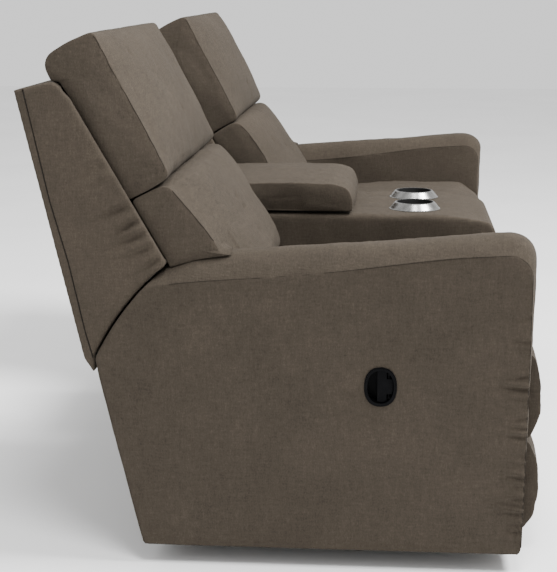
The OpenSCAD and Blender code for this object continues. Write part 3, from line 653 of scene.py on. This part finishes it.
set_camera()
finish_nodes()


# ---------------------------------------------------------------- arms

def arm_top(y):
    """Height of the CAD arm's top edge."""
    t = (y + ARM_FRONT - ARM_NOSE_R) / 664
    return ARM_FRONT_H - ARM_DROP * (0.475 * t + 0.525 * t * t)


def rear_y(z):
    """The arm's rear edge, below the arc."""
    return 267 + (z - ARM_BOTTOM) * math.tan(math.radians(13.5))


def dip(y):
    """The side panels' top seam hangs a little in the middle of the arm."""
    return 11 * max(0.0, 1 - ((y + 60) / 290) ** 2) ** 2


def hump(y):
    """The crown's padding stands higher where the back's wing lies on it."""
    rise = min(1.0, max(0.0, (y + 260) / 350))
    fall = min(1.0, max(0.0, (219 - y) / 45))
    return 12.5 * rise ** 1.2 * fall ** 0.7


def crest(y):
    """The padding stands higher towards the front of the arm."""
    return 1 + 0.2 * min(1.0, max(0.0, (-150 - y) / 220))


def arm_height(y, share):
    """Height of the arm's top, where its crown has this share of its full height."""
    return arm_top(y) - dip(y) + share * (ARM_CROWN * crest(y) + dip(y) + hump(y))


def arm_points(lift, push):
    """The arm's side outline, with its top lifted and its front pushed out."""
    share = lift / ARM_CROWN
    top = arm_top(250) + lift
    a0, a1 = math.asin((405 - ARC_Z) / ARC_R), math.asin((top - ARC_Z) / ARC_R)
    y_end, y_nose = ARC_Y + ARC_R * math.cos(a1), -ARM_FRONT + ARM_NOSE_R

    def f(z):
        k = min(1.0, z / 430)
        return -ARM_FRONT + 5 * (1 - k) - push * (0.12 + 0.88 * min(1.0, z / 560) ** 2)

    pts = [(f(38) + 7, ARM_BOTTOM), (f(38) + 24, ARM_BOTTOM)]
    pts += [(rear_y(ARM_BOTTOM) - 4, ARM_BOTTOM), (rear_y(ARM_BOTTOM) + 1, ARM_BOTTOM + 4)]
    pts += [(rear_y(366) - 1, 364)]
    pts += [(ARC_Y + ARC_R * math.cos(a), ARC_Z + ARC_R * math.sin(a))
            for a in np.linspace(a0, a1, 24)]
    pts += [(y, arm_height(y, share))
            for y in y_end + (y_nose - y_end) * np.linspace(0.012, 1, 50)[:-1]]
    z = arm_height(y_nose, share) - ARM_NOSE_R
    pts += [(y_nose + (ARM_NOSE_R + push) * math.cos(a), z + ARM_NOSE_R * math.sin(a))
            for a in np.radians(np.linspace(90, 180, 16))]
    pts += [(f(z), z) for z in (430, 330, 230, 130, 55)] + [(f(45) + 1.5, 45), (f(40) + 4, 40)]
    return np.array(pts)


def arm_fractions(count):
    """Places around the arm's outline, closer together down its front edge."""
    fine = resample(arm_points(0, 0), 1400)
    weight = np.where((fine[:, 0] < -445) & (fine[:, 1] < 575), 3.4, 1.0)
    total = np.concatenate([[0], np.cumsum(weight)])
    want = np.linspace(0, total[-1], count, endpoint=False)
    return np.interp(want, total, np.linspace(0, 1, len(total)))


ARM_AT = arm_fractions(520)


def arm_outline(lift, push, at=ARM_AT):
    """The same outline with points at these fractions, or this many of them."""
    return resample(arm_points(lift, push), at)


def crown_share(s):
    """Share of the crown's full height across the arm, s from -1 to 1."""
    return 1 - abs(s) ** 2.6


def build_arm():
    rings = []
    for s in stations(2 * ARM_HALF, edge=(0, 1.5, 4, 8, 14), step=5.0):
        yz = arm_outline(ARM_CROWN * crown_share(s), ARM_PUSH * crown_share(s))
        rings.append(np.column_stack([np.full(len(yz), -ARM_MIDDLE + s * ARM_HALF), yz]))
    verts, faces, _ = capped(rings, 46, 0.8)
    obj = make("right_arm_cloth", verts / 1000, faces, MAT["upholstery"])
    outward(obj)
    return obj


def cut_handle_hole(obj, sign):
    """Opens the outer panel behind the bezel's flange."""
    half_w, half_h = RECESS_W / 2 + 3.6, RECESS_H / 2 + 3.6

    def behind(face):
        c = face.calc_center_median() * 1000
        oval = abs((c.y - HANDLE_Y) / half_w) ** 2.3 + abs((c.z - HANDLE_Z) / half_h) ** 2.3
        return c.x * sign > OUTER_X - 5 and oval < 1

    def cut(bm):
        bmesh.ops.delete(bm, geom=[f for f in bm.faces if behind(f)], context="FACES")

    edit(obj.data, cut)


def off_seam(p, outline, reach):
    """0 on an outline in the side plane, 1 further away than reach."""
    far = np.full(len(p), 1e9)
    for a in outline / 1000:
        far = np.minimum(far, (p[:, 1] - a[0]) ** 2 + (p[:, 2] - a[1]) ** 2)
    return np.clip(np.sqrt(far) / reach, 0, 1)


# Folds at the arm's front seam: height, depth and reach
ARM_FOLDS = [(496, 0.45, 30), (449, 0.6, 30), (434, 0.45, 26), (384, 0.6, 36), (360, 1.1, 48),
             (338, 0.5, 36), (305, 0.6, 32), (284, 0.6, 30), (268, 0.9, 36), (215, 0.5, 26),
             (188, 0.9, 36), (170, 0.6, 32), (149, 1.0, 48), (133, 0.8, 44), (117, 0.9, 46),
             (98, 0.7, 34), (80, 0.6, 32), (62, 0.5, 26)]


def dress_arm(obj, sign, seed):
    """Folds, gathers, lumps and creases: side panels first, then the band between them."""
    p = read(obj)
    x, y, z = np.abs(p[:, 0]), p[:, 1], p[:, 2]
    outer = np.clip((x - 0.958) / 0.006, 0, 1)
    inner = np.clip((0.862 - x) / 0.006, 0, 1)
    band = 1 - np.maximum(outer, inner)
    front = np.clip(y + 0.457, 0, None)
    bezel = 1 - near(np.hypot(y - HANDLE_Y / 1000, z - HANDLE_Z / 1000), 0.062)
    low = np.clip((0.50 - z) / 0.08, 0, 1)
    fold = gathers(z, front, 0.05, 0.56, seed, (0.014, 0.034), (0.010, 0.026)) * (0.35 + 0.65 * low)
    marks = ARM_FOLDS if sign < 0 else [(a + 11 * math.sin(a), b, c) for a, b, c in ARM_FOLDS]
    clear = off_seam(p, arm_outline(0, 0, 400), 0.006)
    amount = outer * bezel * clear * (
        0.0058 * placed_folds(z, front, marks) + 0.0026 * fold
        + 0.0009 * lumps(p, 0.16, seed + 1) - 0.0004 * creases(p, 0.12, seed + 2))
    amount += inner * clear * 0.0012 * (fold * 0.6 + lumps(p, 0.15, seed + 3))
    amount += band * (0.0007 * lumps(p, 0.11, seed + 4) + 0.0005 * lumps(p, 0.045, seed + 5)
                      - 0.0006 * creases(p, 0.07, seed + 6))
    top = np.clip((z - 0.55) / 0.03, 0, 1)
    edge = np.minimum(np.abs(x - OUTER_X / 1000), np.abs(x - WALL_X / 1000))
    amount += band * top * 0.0009 * gathers(
        y, edge, -0.44, 0.2, seed + 7, (0.02, 0.06), (0.01, 0.02))
    amount += band * (1 - top) * 0.0011 * gathers(
        z, edge, 0.06, 0.56, seed + 8, (0.012, 0.03), (0.008, 0.018))
    displace(obj, amount)


def arm_seam(name, x):
    """The welt line between a side panel and the top and front band, in a darker welt cloth that is
    painted shade along the seam.
    """
    yz = arm_outline(0, 0, 600)
    start = np.argmin(np.abs(yz[:, 0] - 208) + np.abs(yz[:, 1] - arm_top(208)))
    stop = np.argmin(np.abs(yz[:, 0] + 457) + np.abs(yz[:, 1] - 46))
    pts = yz[start:stop]
    tube(name, np.column_stack([np.full(len(pts), x), pts]) / 1000, WELT_R, MAT["welt"], "root")


right_arm = build_arm()
ARMS = {"right": right_arm, "left": mirrored(right_arm, "left_arm_cloth")}
for (side, sign), seed in zip(SIDES, (11, 31)):
    dress_arm(ARMS[side], sign, seed)
    cut_handle_hole(ARMS[side], sign)
for side, sign in SIDES:
    place(ARMS[side], "root", "upholstery", f"{side}_arm_cover", fill=0.75)
    arm_seam(f"{side}_arm_outer_seam", sign * (OUTER_X - 0.4))
    arm_seam(f"{side}_arm_inner_seam", sign * (WALL_X + 0.4))


# ---------------------------------------------------------------- back cushions

def build_headrest():
    t, h = 95.0, 310.0
    outline = rounded([
        (0.5, 1, 4), (t - 5, 0.5, 17), (t + 2, h * 0.3, 90), (t + 6, h * 0.72, 90),
        (t + 8, h - 7, 15), (48, h - 1, 150), (-9, h - 3, 29), (-12, 262, 4), (0.5, 253, 5)])

    def face(s, ring, q):
        out = np.zeros_like(ring)
        upper = np.clip((q[:, 1] - 0.74) / 0.26, 0, 1) ** 2
        out[:, 0] = -9 * (1 - abs(s) ** 3.2) * np.clip(q[:, 0], 0, 1) * upper
        return out

    return stuffed("right_headrest_cloth", outline, lambda v, u: back_p(u + HEADREST_U, v),
                   CUSHION_X0, CUSHION_X1, 190, crown=27, edge=3, bulge=6, cap=12, face=face,
                   centre=(42, 240))


LUMBAR_T, LUMBAR_CROWN = 92.0, 27.0
WING_WIDTH, CUSHION_WIDTH = -WALL_X - CUSHION_X0, CUSHION_X1 - CUSHION_X0
WING_STATIONS = (0, 1.5, 4, 9, 18, 32, 44, 54, 62, 70, 78, WING_WIDTH - 1)


def lumbar_under(x, corner, front):
    """The underside of a lumbar cushion's middle: down behind the seat and back up."""
    low = [(front + 2, -27), (front + 4, -50), (front + 5, -100), (front - 1, -132),
           (front - 18, -146), (front - 34, -150), (34, -122), (24, -110), (6, -60), (4, -20)]
    return [back_p(float(u), float(v)) for v, u in low]


def wing_under(x, corner, front):
    """The underside of its wing, which follows the arm's crown at a small gap."""
    tip = np.clip((x + WALL_X) / -34, 0, 1)
    y_front = 112.0 - 17.0 * tip
    share = max(0.0, crown_share((x + ARM_MIDDLE) / ARM_HALF))
    clear = arm_height(y_front, share) + WING_GAP + 2 * tip
    down = np.array([-math.sin(LEAN), -math.cos(LEAN)])
    hem = corner + down * (corner[1] - clear - 8) / math.cos(LEAN)
    b = np.array([y_front, clear + 0.8])
    low = [hem, hem + (b - hem) * 0.5 + [0, -1.5], b, (y_front + 1, clear)]
    low += [(y, arm_height(y, share) + WING_GAP + 2 * tip * max(0.0, (170 - y) / 80))
            for y in (118, 128, 145, 165, 190, 204)]
    return low + [(212, arm_height(212, share) + WING_GAP + 1.5)]


def lumbar_ring(x, s, under):
    """One ring of a lumbar cushion at x, where s goes from -1 to 1 across it."""
    full = 1 - abs(s) ** 3
    t = LUMBAR_T + LUMBAR_CROWN * full
    slim = 9 * (1 - full) if s < 0 else 0.0
    brow = HEADREST_U - 30
    top = [(4, HEADREST_U - 4), (10, HEADREST_U - 1), (t - 30 - slim, HEADREST_U - 1),
           (t - 15 - slim, HEADREST_U - 4), (t - 5 - slim, HEADREST_U - 14), (t - slim, brow)]
    front = [(t - slim, brow), (t + 5 - slim, 80), (t + 8 - 0.7 * slim, 50),
             (t + 9 - 0.3 * slim, 20), (t + 8, 0)]
    vu = np.vstack([spaced(top, 22)[:-1], spaced(front, 24)])
    corner = back_p(0.0, t + 8)
    low = under(x, corner, t + 8)
    rear = back_p(np.linspace(0, HEADREST_U - 12, 26), np.full(26, 4.0))[:-1]
    pts = np.vstack([back_p(vu[:, 1], vu[:, 0]), spaced([corner, low[0]], 11)[1:],
                     spaced(low, 54)[1:], rear])
    return np.column_stack([np.full(len(pts), x), pts])


def build_lumbar():
    """Its middle reaches down behind the seat cushion, and its wing lies over the arm."""
    w = CUSHION_WIDTH
    middle = [WING_WIDTH + 3, WING_WIDTH + 8, WING_WIDTH + 16,
              *np.linspace(WING_WIDTH + 28, w - 30, 46), w - 18, w - 9, w - 4, w - 1.5, w]
    rings = [lumbar_ring(CUSHION_X0 + d, 2 * d / w - 1, wing_under) for d in WING_STATIONS]
    rings += [lumbar_ring(CUSHION_X0 + d, 2 * d / w - 1, lumbar_under) for d in middle]
    verts, faces, seam = capped(rings, 10, 5, ((165.0, 612.0), None))
    obj = make("right_lumbar_cloth", verts / 1000, faces, MAT["upholstery"])
    outward(obj)
    return obj, seam


def from_points(p, points, reach):
    """0 at these points, 1 further away than reach."""
    tree = KDTree(len(points))
    for i, q in enumerate(points):
        tree.insert(q, i)
    tree.balance()
    return np.array([min(1.0, tree.find(q)[2] / reach) for q in p])


# Each back cushion's seeds, dimples as (x, u, depth, radius), the gathers where the two cushions
# meet as (seed step, reach, height), and where its side seams begin and end, as heights u
BACKS = {
    "headrest": {
        "node": "headrest", "seeds": {"right": 59, "left": 79},
        "marks": {"right": [(-814, 378, 1.6, 8), (-609, 236, 2.4, 8), (-420, 330, 1.8, 9)],
                  "left": [(668, 263, 2.2, 8), (611, 205, 1.6, 7), (380, 345, 1.5, 9)]},
        "joint": (5, (0.01, 0.035), 0.001),
        "outer": (HEADREST_U + 16, HEADREST_U + 292), "inner": (HEADREST_U + 16, HEADREST_U + 292)},
    "lumbar": {
        "node": "lumbar_cushion", "seeds": {"right": 57, "left": 77},
        "marks": {"right": [(-639, 27, 2.4, 8), (-622, -2, 1.8, 7), (-635, -54, 1.6, 8),
                            (-336, -103, 1.6, 9)],
                  "left": [(550, -4, 2.2, 8), (603, -31, 1.6, 7), (400, 40, 1.4, 9)]},
        "joint": (6, (0.01, 0.03), 0.0008),
        "outer": (-3, HEADREST_U - 20), "inner": (-150, HEADREST_U - 20)},
}


def seam_points(obj, x, lo, hi):
    """Points up the front edge of a swelled cushion at x, between two heights u."""
    p = read(obj)
    u, v = back_uv(p)
    on = (np.abs(p[:, 0] - x / 1000) < 0.0012) & (v > 70) & (u > lo) & (u < hi)
    return p[on][np.argsort(u[on])][::2]


def dress_back(obj, seed, marks, joint, seams):
    """Dimples, lumps and creases on a back cushion, calm beside its seams."""
    p = read(obj)
    sewn = from_points(p, np.vstack(seams), 0.018)
    u, v = back_uv(p)
    ax = np.abs(p[:, 0] * 1000)
    front = np.clip((v - 60) / 25, 0, 1)
    edge = np.minimum(np.abs(ax + CUSHION_X0), np.abs(ax + CUSHION_X1)) / 1000
    calm = 1 - 0.75 * np.clip((u - HEADREST_U - 265) / 30, 0, 1)
    amount = calm * (0.0011 * lumps(p, 0.17, seed) + 0.0004 * lumps(p, 0.06, seed + 1))
    amount -= 0.0007 * front * calm * creases(p, 0.10, seed + 2, (1, 0.7, 0.7))
    fold = gathers(u / 1000, edge, -0.16, 0.45, seed + 3, (0.02, 0.05), (0.012, 0.04))
    amount += 0.0009 * front * fold
    for x, at, depth, radius in marks:
        d = np.hypot(ax - abs(x), u - at)
        amount -= depth / 550 * front * (near(d, radius) + 0.25 * near(d, radius * 3.2))
        turn = np.arctan2(u - at, ax - abs(x))
        rays = np.clip(np.sin(5 * turn + at), 0, 1) ** 2
        amount -= depth / 2400 * front * near(d, radius * 3) * rays
    step, reach, height = joint
    line = gathers(ax / 1000, np.abs(u - HEADREST_U) / 1000, 0.25, 0.93, seed + step,
                   (0.015, 0.045), reach)
    amount += height * front * line
    displace(obj, amount * (0.08 + 0.92 * sewn))


headrest, pin = build_headrest()
u, v = back_uv(read(headrest))
swell(headrest, pin | (v < 3), pressure=3.5, cap=0.006)
lumbar, pin = build_lumbar()
p = read(lumbar)
u, v = back_uv(p)
swell(lumbar, pin | (v < 6) | ((np.abs(p[:, 0]) > 0.852) & (u < 10)), pressure=3.0, cap=0.005)

for kind, first in (("headrest", headrest), ("lumbar", lumbar)):
    back = BACKS[kind]
    seams = [seam_points(first, CUSHION_X0, *back["outer"]),
             seam_points(first, CUSHION_X1, *back["inner"])]
    pair = {"right": first, "left": mirrored(first, f"left_{kind}_cloth")}
    for side, sign in SIDES:
        obj, body = pair[side], f"{side}_back"
        lines = [line * np.array([-sign, 1, 1]) for line in seams]
        dress_back(obj, back["seeds"][side], back["marks"][side], back["joint"], lines)
        place(obj, body, "upholstery", f"{side}_{back['node']}", fill=0.8)
        for end, line in zip(("outer", "inner"), lines):
            seam_line(obj, line, f"{side}_{kind}_{end}_seam", body)


# ---------------------------------------------------------------- back shells

# Folds at the shell's front edge: height u, depth and reach
SHELL_FOLDS = [(228, 0.4, 34), (188, 0.5, 36), (131, 0.9, 58), (101, 0.8, 66), (72, 1.0, 60),
               (45, 0.8, 56), (18, 0.9, 46), (-8, 0.6, 36)]
SHELL_SEAM = [(474, 906), (431, 703), (399, 586), (370, 451), (357, 404)]      # y and z


def dress_shell(obj, seed):
    """Folds, lumps and creases on a shell's sides and outside back, and a rolled front edge."""
    p = read(obj)
    x, y, z = np.abs(p[:, 0]), p[:, 1] * 1000, p[:, 2] * 1000
    u, v = back_uv(p)
    behind = np.clip(-v, 0, None) / 1000
    outer = np.clip((x - 0.952) / 0.005, 0, 1)
    inner = np.clip((0.233 - x) / 0.005, 0, 1)
    fold = gathers(u / 1000, behind, -0.03, 0.22, seed,
                   (0.014, 0.03), (0.02, 0.055), (0.005, 0.009))
    fold += 0.4 * gathers(u / 1000, behind, 0.22, 0.37, seed + 1,
                          (0.03, 0.06), (0.015, 0.03), (0.005, 0.008))
    fold += 2.3 * placed_folds(u / 1000, behind, SHELL_FOLDS, 1.4)
    fold *= 0.15 + 0.85 * np.clip((-v - 1) / 14, 0, 1)  # the edge's seam holds the folds flat
    seam_y = 357 + (z - 404) * SHELL_SLOPE
    clear = np.clip((np.abs(y - 5 - seam_y) - 2) / 10, 0, 1)
    rear_face = 375 + (z - 402) * SHELL_SLOPE
    inside = np.clip((rear_face - y - 6) / 25, 0, 1)
    amount = (outer + inner * 0.7) * clear * inside * (
        0.0036 * fold + 0.0010 * lumps(p, 0.15, seed + 2))
    rear = np.clip((y - rear_face + 6) / 5, 0, 1)
    away = np.clip(np.minimum(SHELL_OUT / 1000 - x, x - SHELL_IN / 1000) / 0.05, 0, 1)
    amount += rear * away * (0.0012 * lumps(p, 0.2, seed + 3)
                             - 0.0005 * creases(p, 0.16, seed + 4))
    rolled = (np.clip((v + 12) / 12, 0, 1) * np.clip((u + 60) / 30, 0, 1)
              * np.clip((372 - u) / 20, 0, 1))
    forward = np.array([0, -math.cos(LEAN), math.sin(LEAN)])
    write(obj, p + normals(obj) * amount[:, None] + 0.0045 * rolled[:, None] * forward)


for (side, sign), (shell_seed, apron_seed) in zip(SIDES, ((91, 103), (97, 107))):
    shell = cloth_copy(f"{side}_back_shell", 0.0042, 5)
    dress_shell(shell, shell_seed)
    # the outside cloth is the upholstery painted 12% lighter, standing in for stronger light on the
    # shell
    place(shell, f"{side}_back", "upholstery_outside", f"{side}_back_shell")
    # near-black seam lines on the shell: painted shade in its seams
    for x, name in ((SHELL_OUT, "outer"), (SHELL_IN, "inner")):
        pts = np.array([(x * sign, *a) for a in SHELL_SEAM], float) / 1000
        at = np.linspace(0, len(pts) - 1, 60)
        pts = np.stack([np.interp(at, range(len(pts)), pts[:, k]) for k in range(3)], 1)
        tube(f"{side}_shell_{name}_seam", pts, SHELL_SEAM_R, MAT["seam"], f"{side}_back")
    apron = cloth_copy(f"{side}_rear_apron", 0.006, 3)
    displace(apron, 0.0009 * lumps(read(apron), 0.17, apron_seed))
    place(apron, "root", "upholstery_outside", f"{side}_rear_apron")


# ---------------------------------------------------------------- seats and leg rests

SEAT_REAR, SEAT_Z, PAD_FRONT = 110, 402, -458.3


def raised(rise, drop, power):
    """A shift for stuffed(): its top stands higher in the middle and lower at the ends."""
    def face(s, ring, q):
        full = 1 - abs(s) ** power
        out = np.zeros_like(ring)
        out[:, 1] = np.clip(q[:, 1], 0, 1) ** 2 * (rise * full - drop * (1 - full))
        return out
    return face


def build_seat():
    depth, rise = 576.0, 106.0
    outline = rounded([(0, 1, 8), (depth - 30, 0, 14), (depth, 30, 16), (depth - 3, 56, 26),
                       (depth - 64, rise + 2, 50), (depth / 2, rise, 60), (0, 76, 22)])
    return stuffed("right_seat_cloth", outline,
                   lambda t, h: np.stack([SEAT_REAR - t, SEAT_Z + h], -1),
                   -WALL_X + 3, -CONSOLE_X - 3, 200, crown=4, edge=3, bulge=0.5, cap=14,
                   face=raised(7, 6, 2.6))


# The pads' side outlines, (forward, share of the height, radius), and their lower and upper ends
PADS = {
    "upper": ([(0, 0, 3), (13, 0, 12), (33, 0.30, 60), (35, 0.66, 60), (19, 1, 20), (0, 1, 3)],
              229, 402),
    "lower": ([(0, 0, 3), (7, 0, 6), (25, 0.14, 40), (36, 0.44, 70), (33, 0.76, 60),
               (13, 1, 16), (0, 1, 3)], 46, 227),
}


def build_pad(kind):
    corners, z0, z1 = PADS[kind]
    outline = rounded([(t, (z1 - z0) * share, r) for t, share, r in corners])
    return stuffed(f"right_{kind}_cloth", outline,
                   lambda t, h: np.stack([PAD_FRONT - t, z0 + h], -1),
                   -WALL_X + 6.5, -CONSOLE_X - 6.5, 84, crown=2, edge=0.8, bulge=1.0, cap=5)


def dress_soft(obj, seed, amp=1.0):
    """Lumps, creases and gathers at the side seams, on every face but the underside."""
    p = read(obj)
    ax = np.abs(p[:, 0])
    edge = np.minimum(ax - ax.min(), ax.max() - ax)
    free = np.clip(normals(obj)[:, 2] + 1.2, 0, 1)
    amount = amp * (0.0016 * lumps(p, 0.16, seed) + 0.0007 * lumps(p, 0.055, seed + 1)
                    - 0.0008 * creases(p, 0.09, seed + 2))
    run = p[:, 1] * 0.8 - p[:, 2] * 0.8
    band = np.clip(1.15 - 1.6 * np.abs(normals(obj)[:, 0]), 0, 1)
    amount += amp * 0.0012 * band * gathers(
        run, edge, run.min(), run.max(), seed + 3, (0.014, 0.035), (0.012, 0.04))
    displace(obj, amount * free)


seat, pin = build_seat()
p = read(seat)
swell(seat, pin | (p[:, 2] < 0.404) | (p[:, 1] > 0.095), pressure=3.5, cap=0.006)
pads = {kind: build_pad(kind) for kind in PADS}
for pad, pin in pads.values():
    swell(pad, pin | (read(pad)[:, 1] > -0.460), pressure=3.0, cap=0.004)
for kind, first, body, node, seeds, fill in (
        ("seat", seat, "root", "seat_cushion", (246, 266), 0.7),
        ("upper", pads["upper"][0], "footrest", "upper_pad", (248, 268), 0.6),
        ("lower", pads["lower"][0], "footrest", "lower_pad", (239, 259), 0.6)):
    pair = (first, mirrored(first, f"left_{kind}_cloth"))
    for (side, _), obj, seed in zip(SIDES, pair, seeds):
        dress_soft(obj, seed)
        place(obj, body if body == "root" else f"{side}_{body}", "upholstery",
              f"{side}_{node}", fill=fill)


# ---------------------------------------------------------------- console

LID_REAR = 230

# Creases that run forward from under the lid: start, end (x, y in metres) and depth in millimetres
TOP_CREASES = [((0.155, -0.118), (0.120, -0.176), 2.6), ((0.176, -0.114), (0.168, -0.150), 1.8),
               ((-0.150, -0.116), (-0.118, -0.158), 2.0), ((0.03, -0.114), (0.012, -0.140), 1.3)]


def build_lid():
    length, h = 338.0, 70.0
    outline = rounded([
        (0, 0, 4), (length - 1, 0, 5), (length + 2, h * 0.34, 34), (length - 9, h * 0.82, 30),
        (length - 44, h, 42), (length * 0.45, h + 1, 90), (0, h - 4, 12)])
    return stuffed("lid_cloth", outline, lambda t, up: np.stack([LID_REAR - t, LID_Z + up], -1),
                   -CONSOLE_X + 0.5, CONSOLE_X - 0.5, 150, crown=3, edge=2, bulge=2.0, cap=8,
                   face=raised(4, 2.5, 3))


def dress_console(obj):
    """Lumps on the sides, and lumps and creases on the top, away from the cup rims."""
    q = read(obj)
    x, y, z = np.abs(q[:, 0]), q[:, 1], q[:, 2]
    out = np.clip((x - 0.19) / 0.005, 0, 1)
    top = np.clip((z - CONSOLE_TOP / 1000) / 0.006, 0, 1) * np.clip((-y - 0.12) / 0.02, 0, 1)
    rims = 1 - near(np.hypot(x - CUP_X / 1000, y - CUP_Y / 1000), 0.075)
    amount = out * 0.0010 * lumps(q, 0.14, 181) + top * rims * 0.0014 * lumps(q, 0.10, 183)
    amount -= top * rims * 0.0012 * creases(q, 0.09, 185)
    for a, b, depth in TOP_CREASES:
        amount -= depth / 1000 * top * on_line(q, a, b, 0.0065)
    displace(obj, amount)


lid, pin = build_lid()
swell(lid, pin | (read(lid)[:, 2] < (LID_Z + 3) / 1000), pressure=3.0, cap=0.004)
dress_soft(lid, 171, amp=0.7)
place(lid, "lid", "upholstery", "lid_pad", fill=0.7)
cover = cloth_copy("console_cover", 0.005, 4)
dress_console(cover)
place(cover, "root", "upholstery", "console_cover")


# ---------------------------------------------------------------- floor and light

FLOOR_HALF, FLOOR_Z = 12, -0.0005
WORLD_LIGHT = 1.1
LAMPS = (("key", (-0.6, -2.8, 4.7), (0, 0, 0.55), 2.0, 562),        # name, place, aim, size, watts
         ("top", (-2.4, -0.3, 4.4), (-0.6, 0, 0.4), 1.3, 165))


def set_floor():
    n = Nodes("pale_floor")
    tone = n.noise(n.at(), 1.5, 2.0)
    n.set(Base_Color=n.ramp(tone, (0.3, (0.86, 0.86, 0.86)), (0.7, (0.90, 0.90, 0.90))),
          Roughness=0.75)
    corners = [(x * FLOOR_HALF, y * FLOOR_HALF, FLOOR_Z)
               for x, y in ((-1, -1), (1, -1), (1, 1), (-1, 1))]
    floor = make("floor", corners, [(0, 1, 2, 3)], n.mat, smooth=False)


def set_light():
    world = bpy.data.worlds.new("studio")
    world.use_nodes = True
    sky = world.node_tree.nodes["Background"]
    sky.inputs["Color"].default_value = (1, 1, 1, 1)
    sky.inputs["Strength"].default_value = WORLD_LIGHT
    SCENE.world = world
    for name, spot, aim, size, watts in LAMPS:
        data = bpy.data.lights.new(name, "AREA")
        data.shape = "DISK"
        data.size = size
        data.energy = watts
        light = bpy.data.objects.new(name, data)
        light.location = spot
        light.rotation_euler = (Vector(aim) - Vector(spot)).to_track_quat("-Z", "Y").to_euler()
        SCENE.collection.objects.link(light)


set_floor()
set_light()
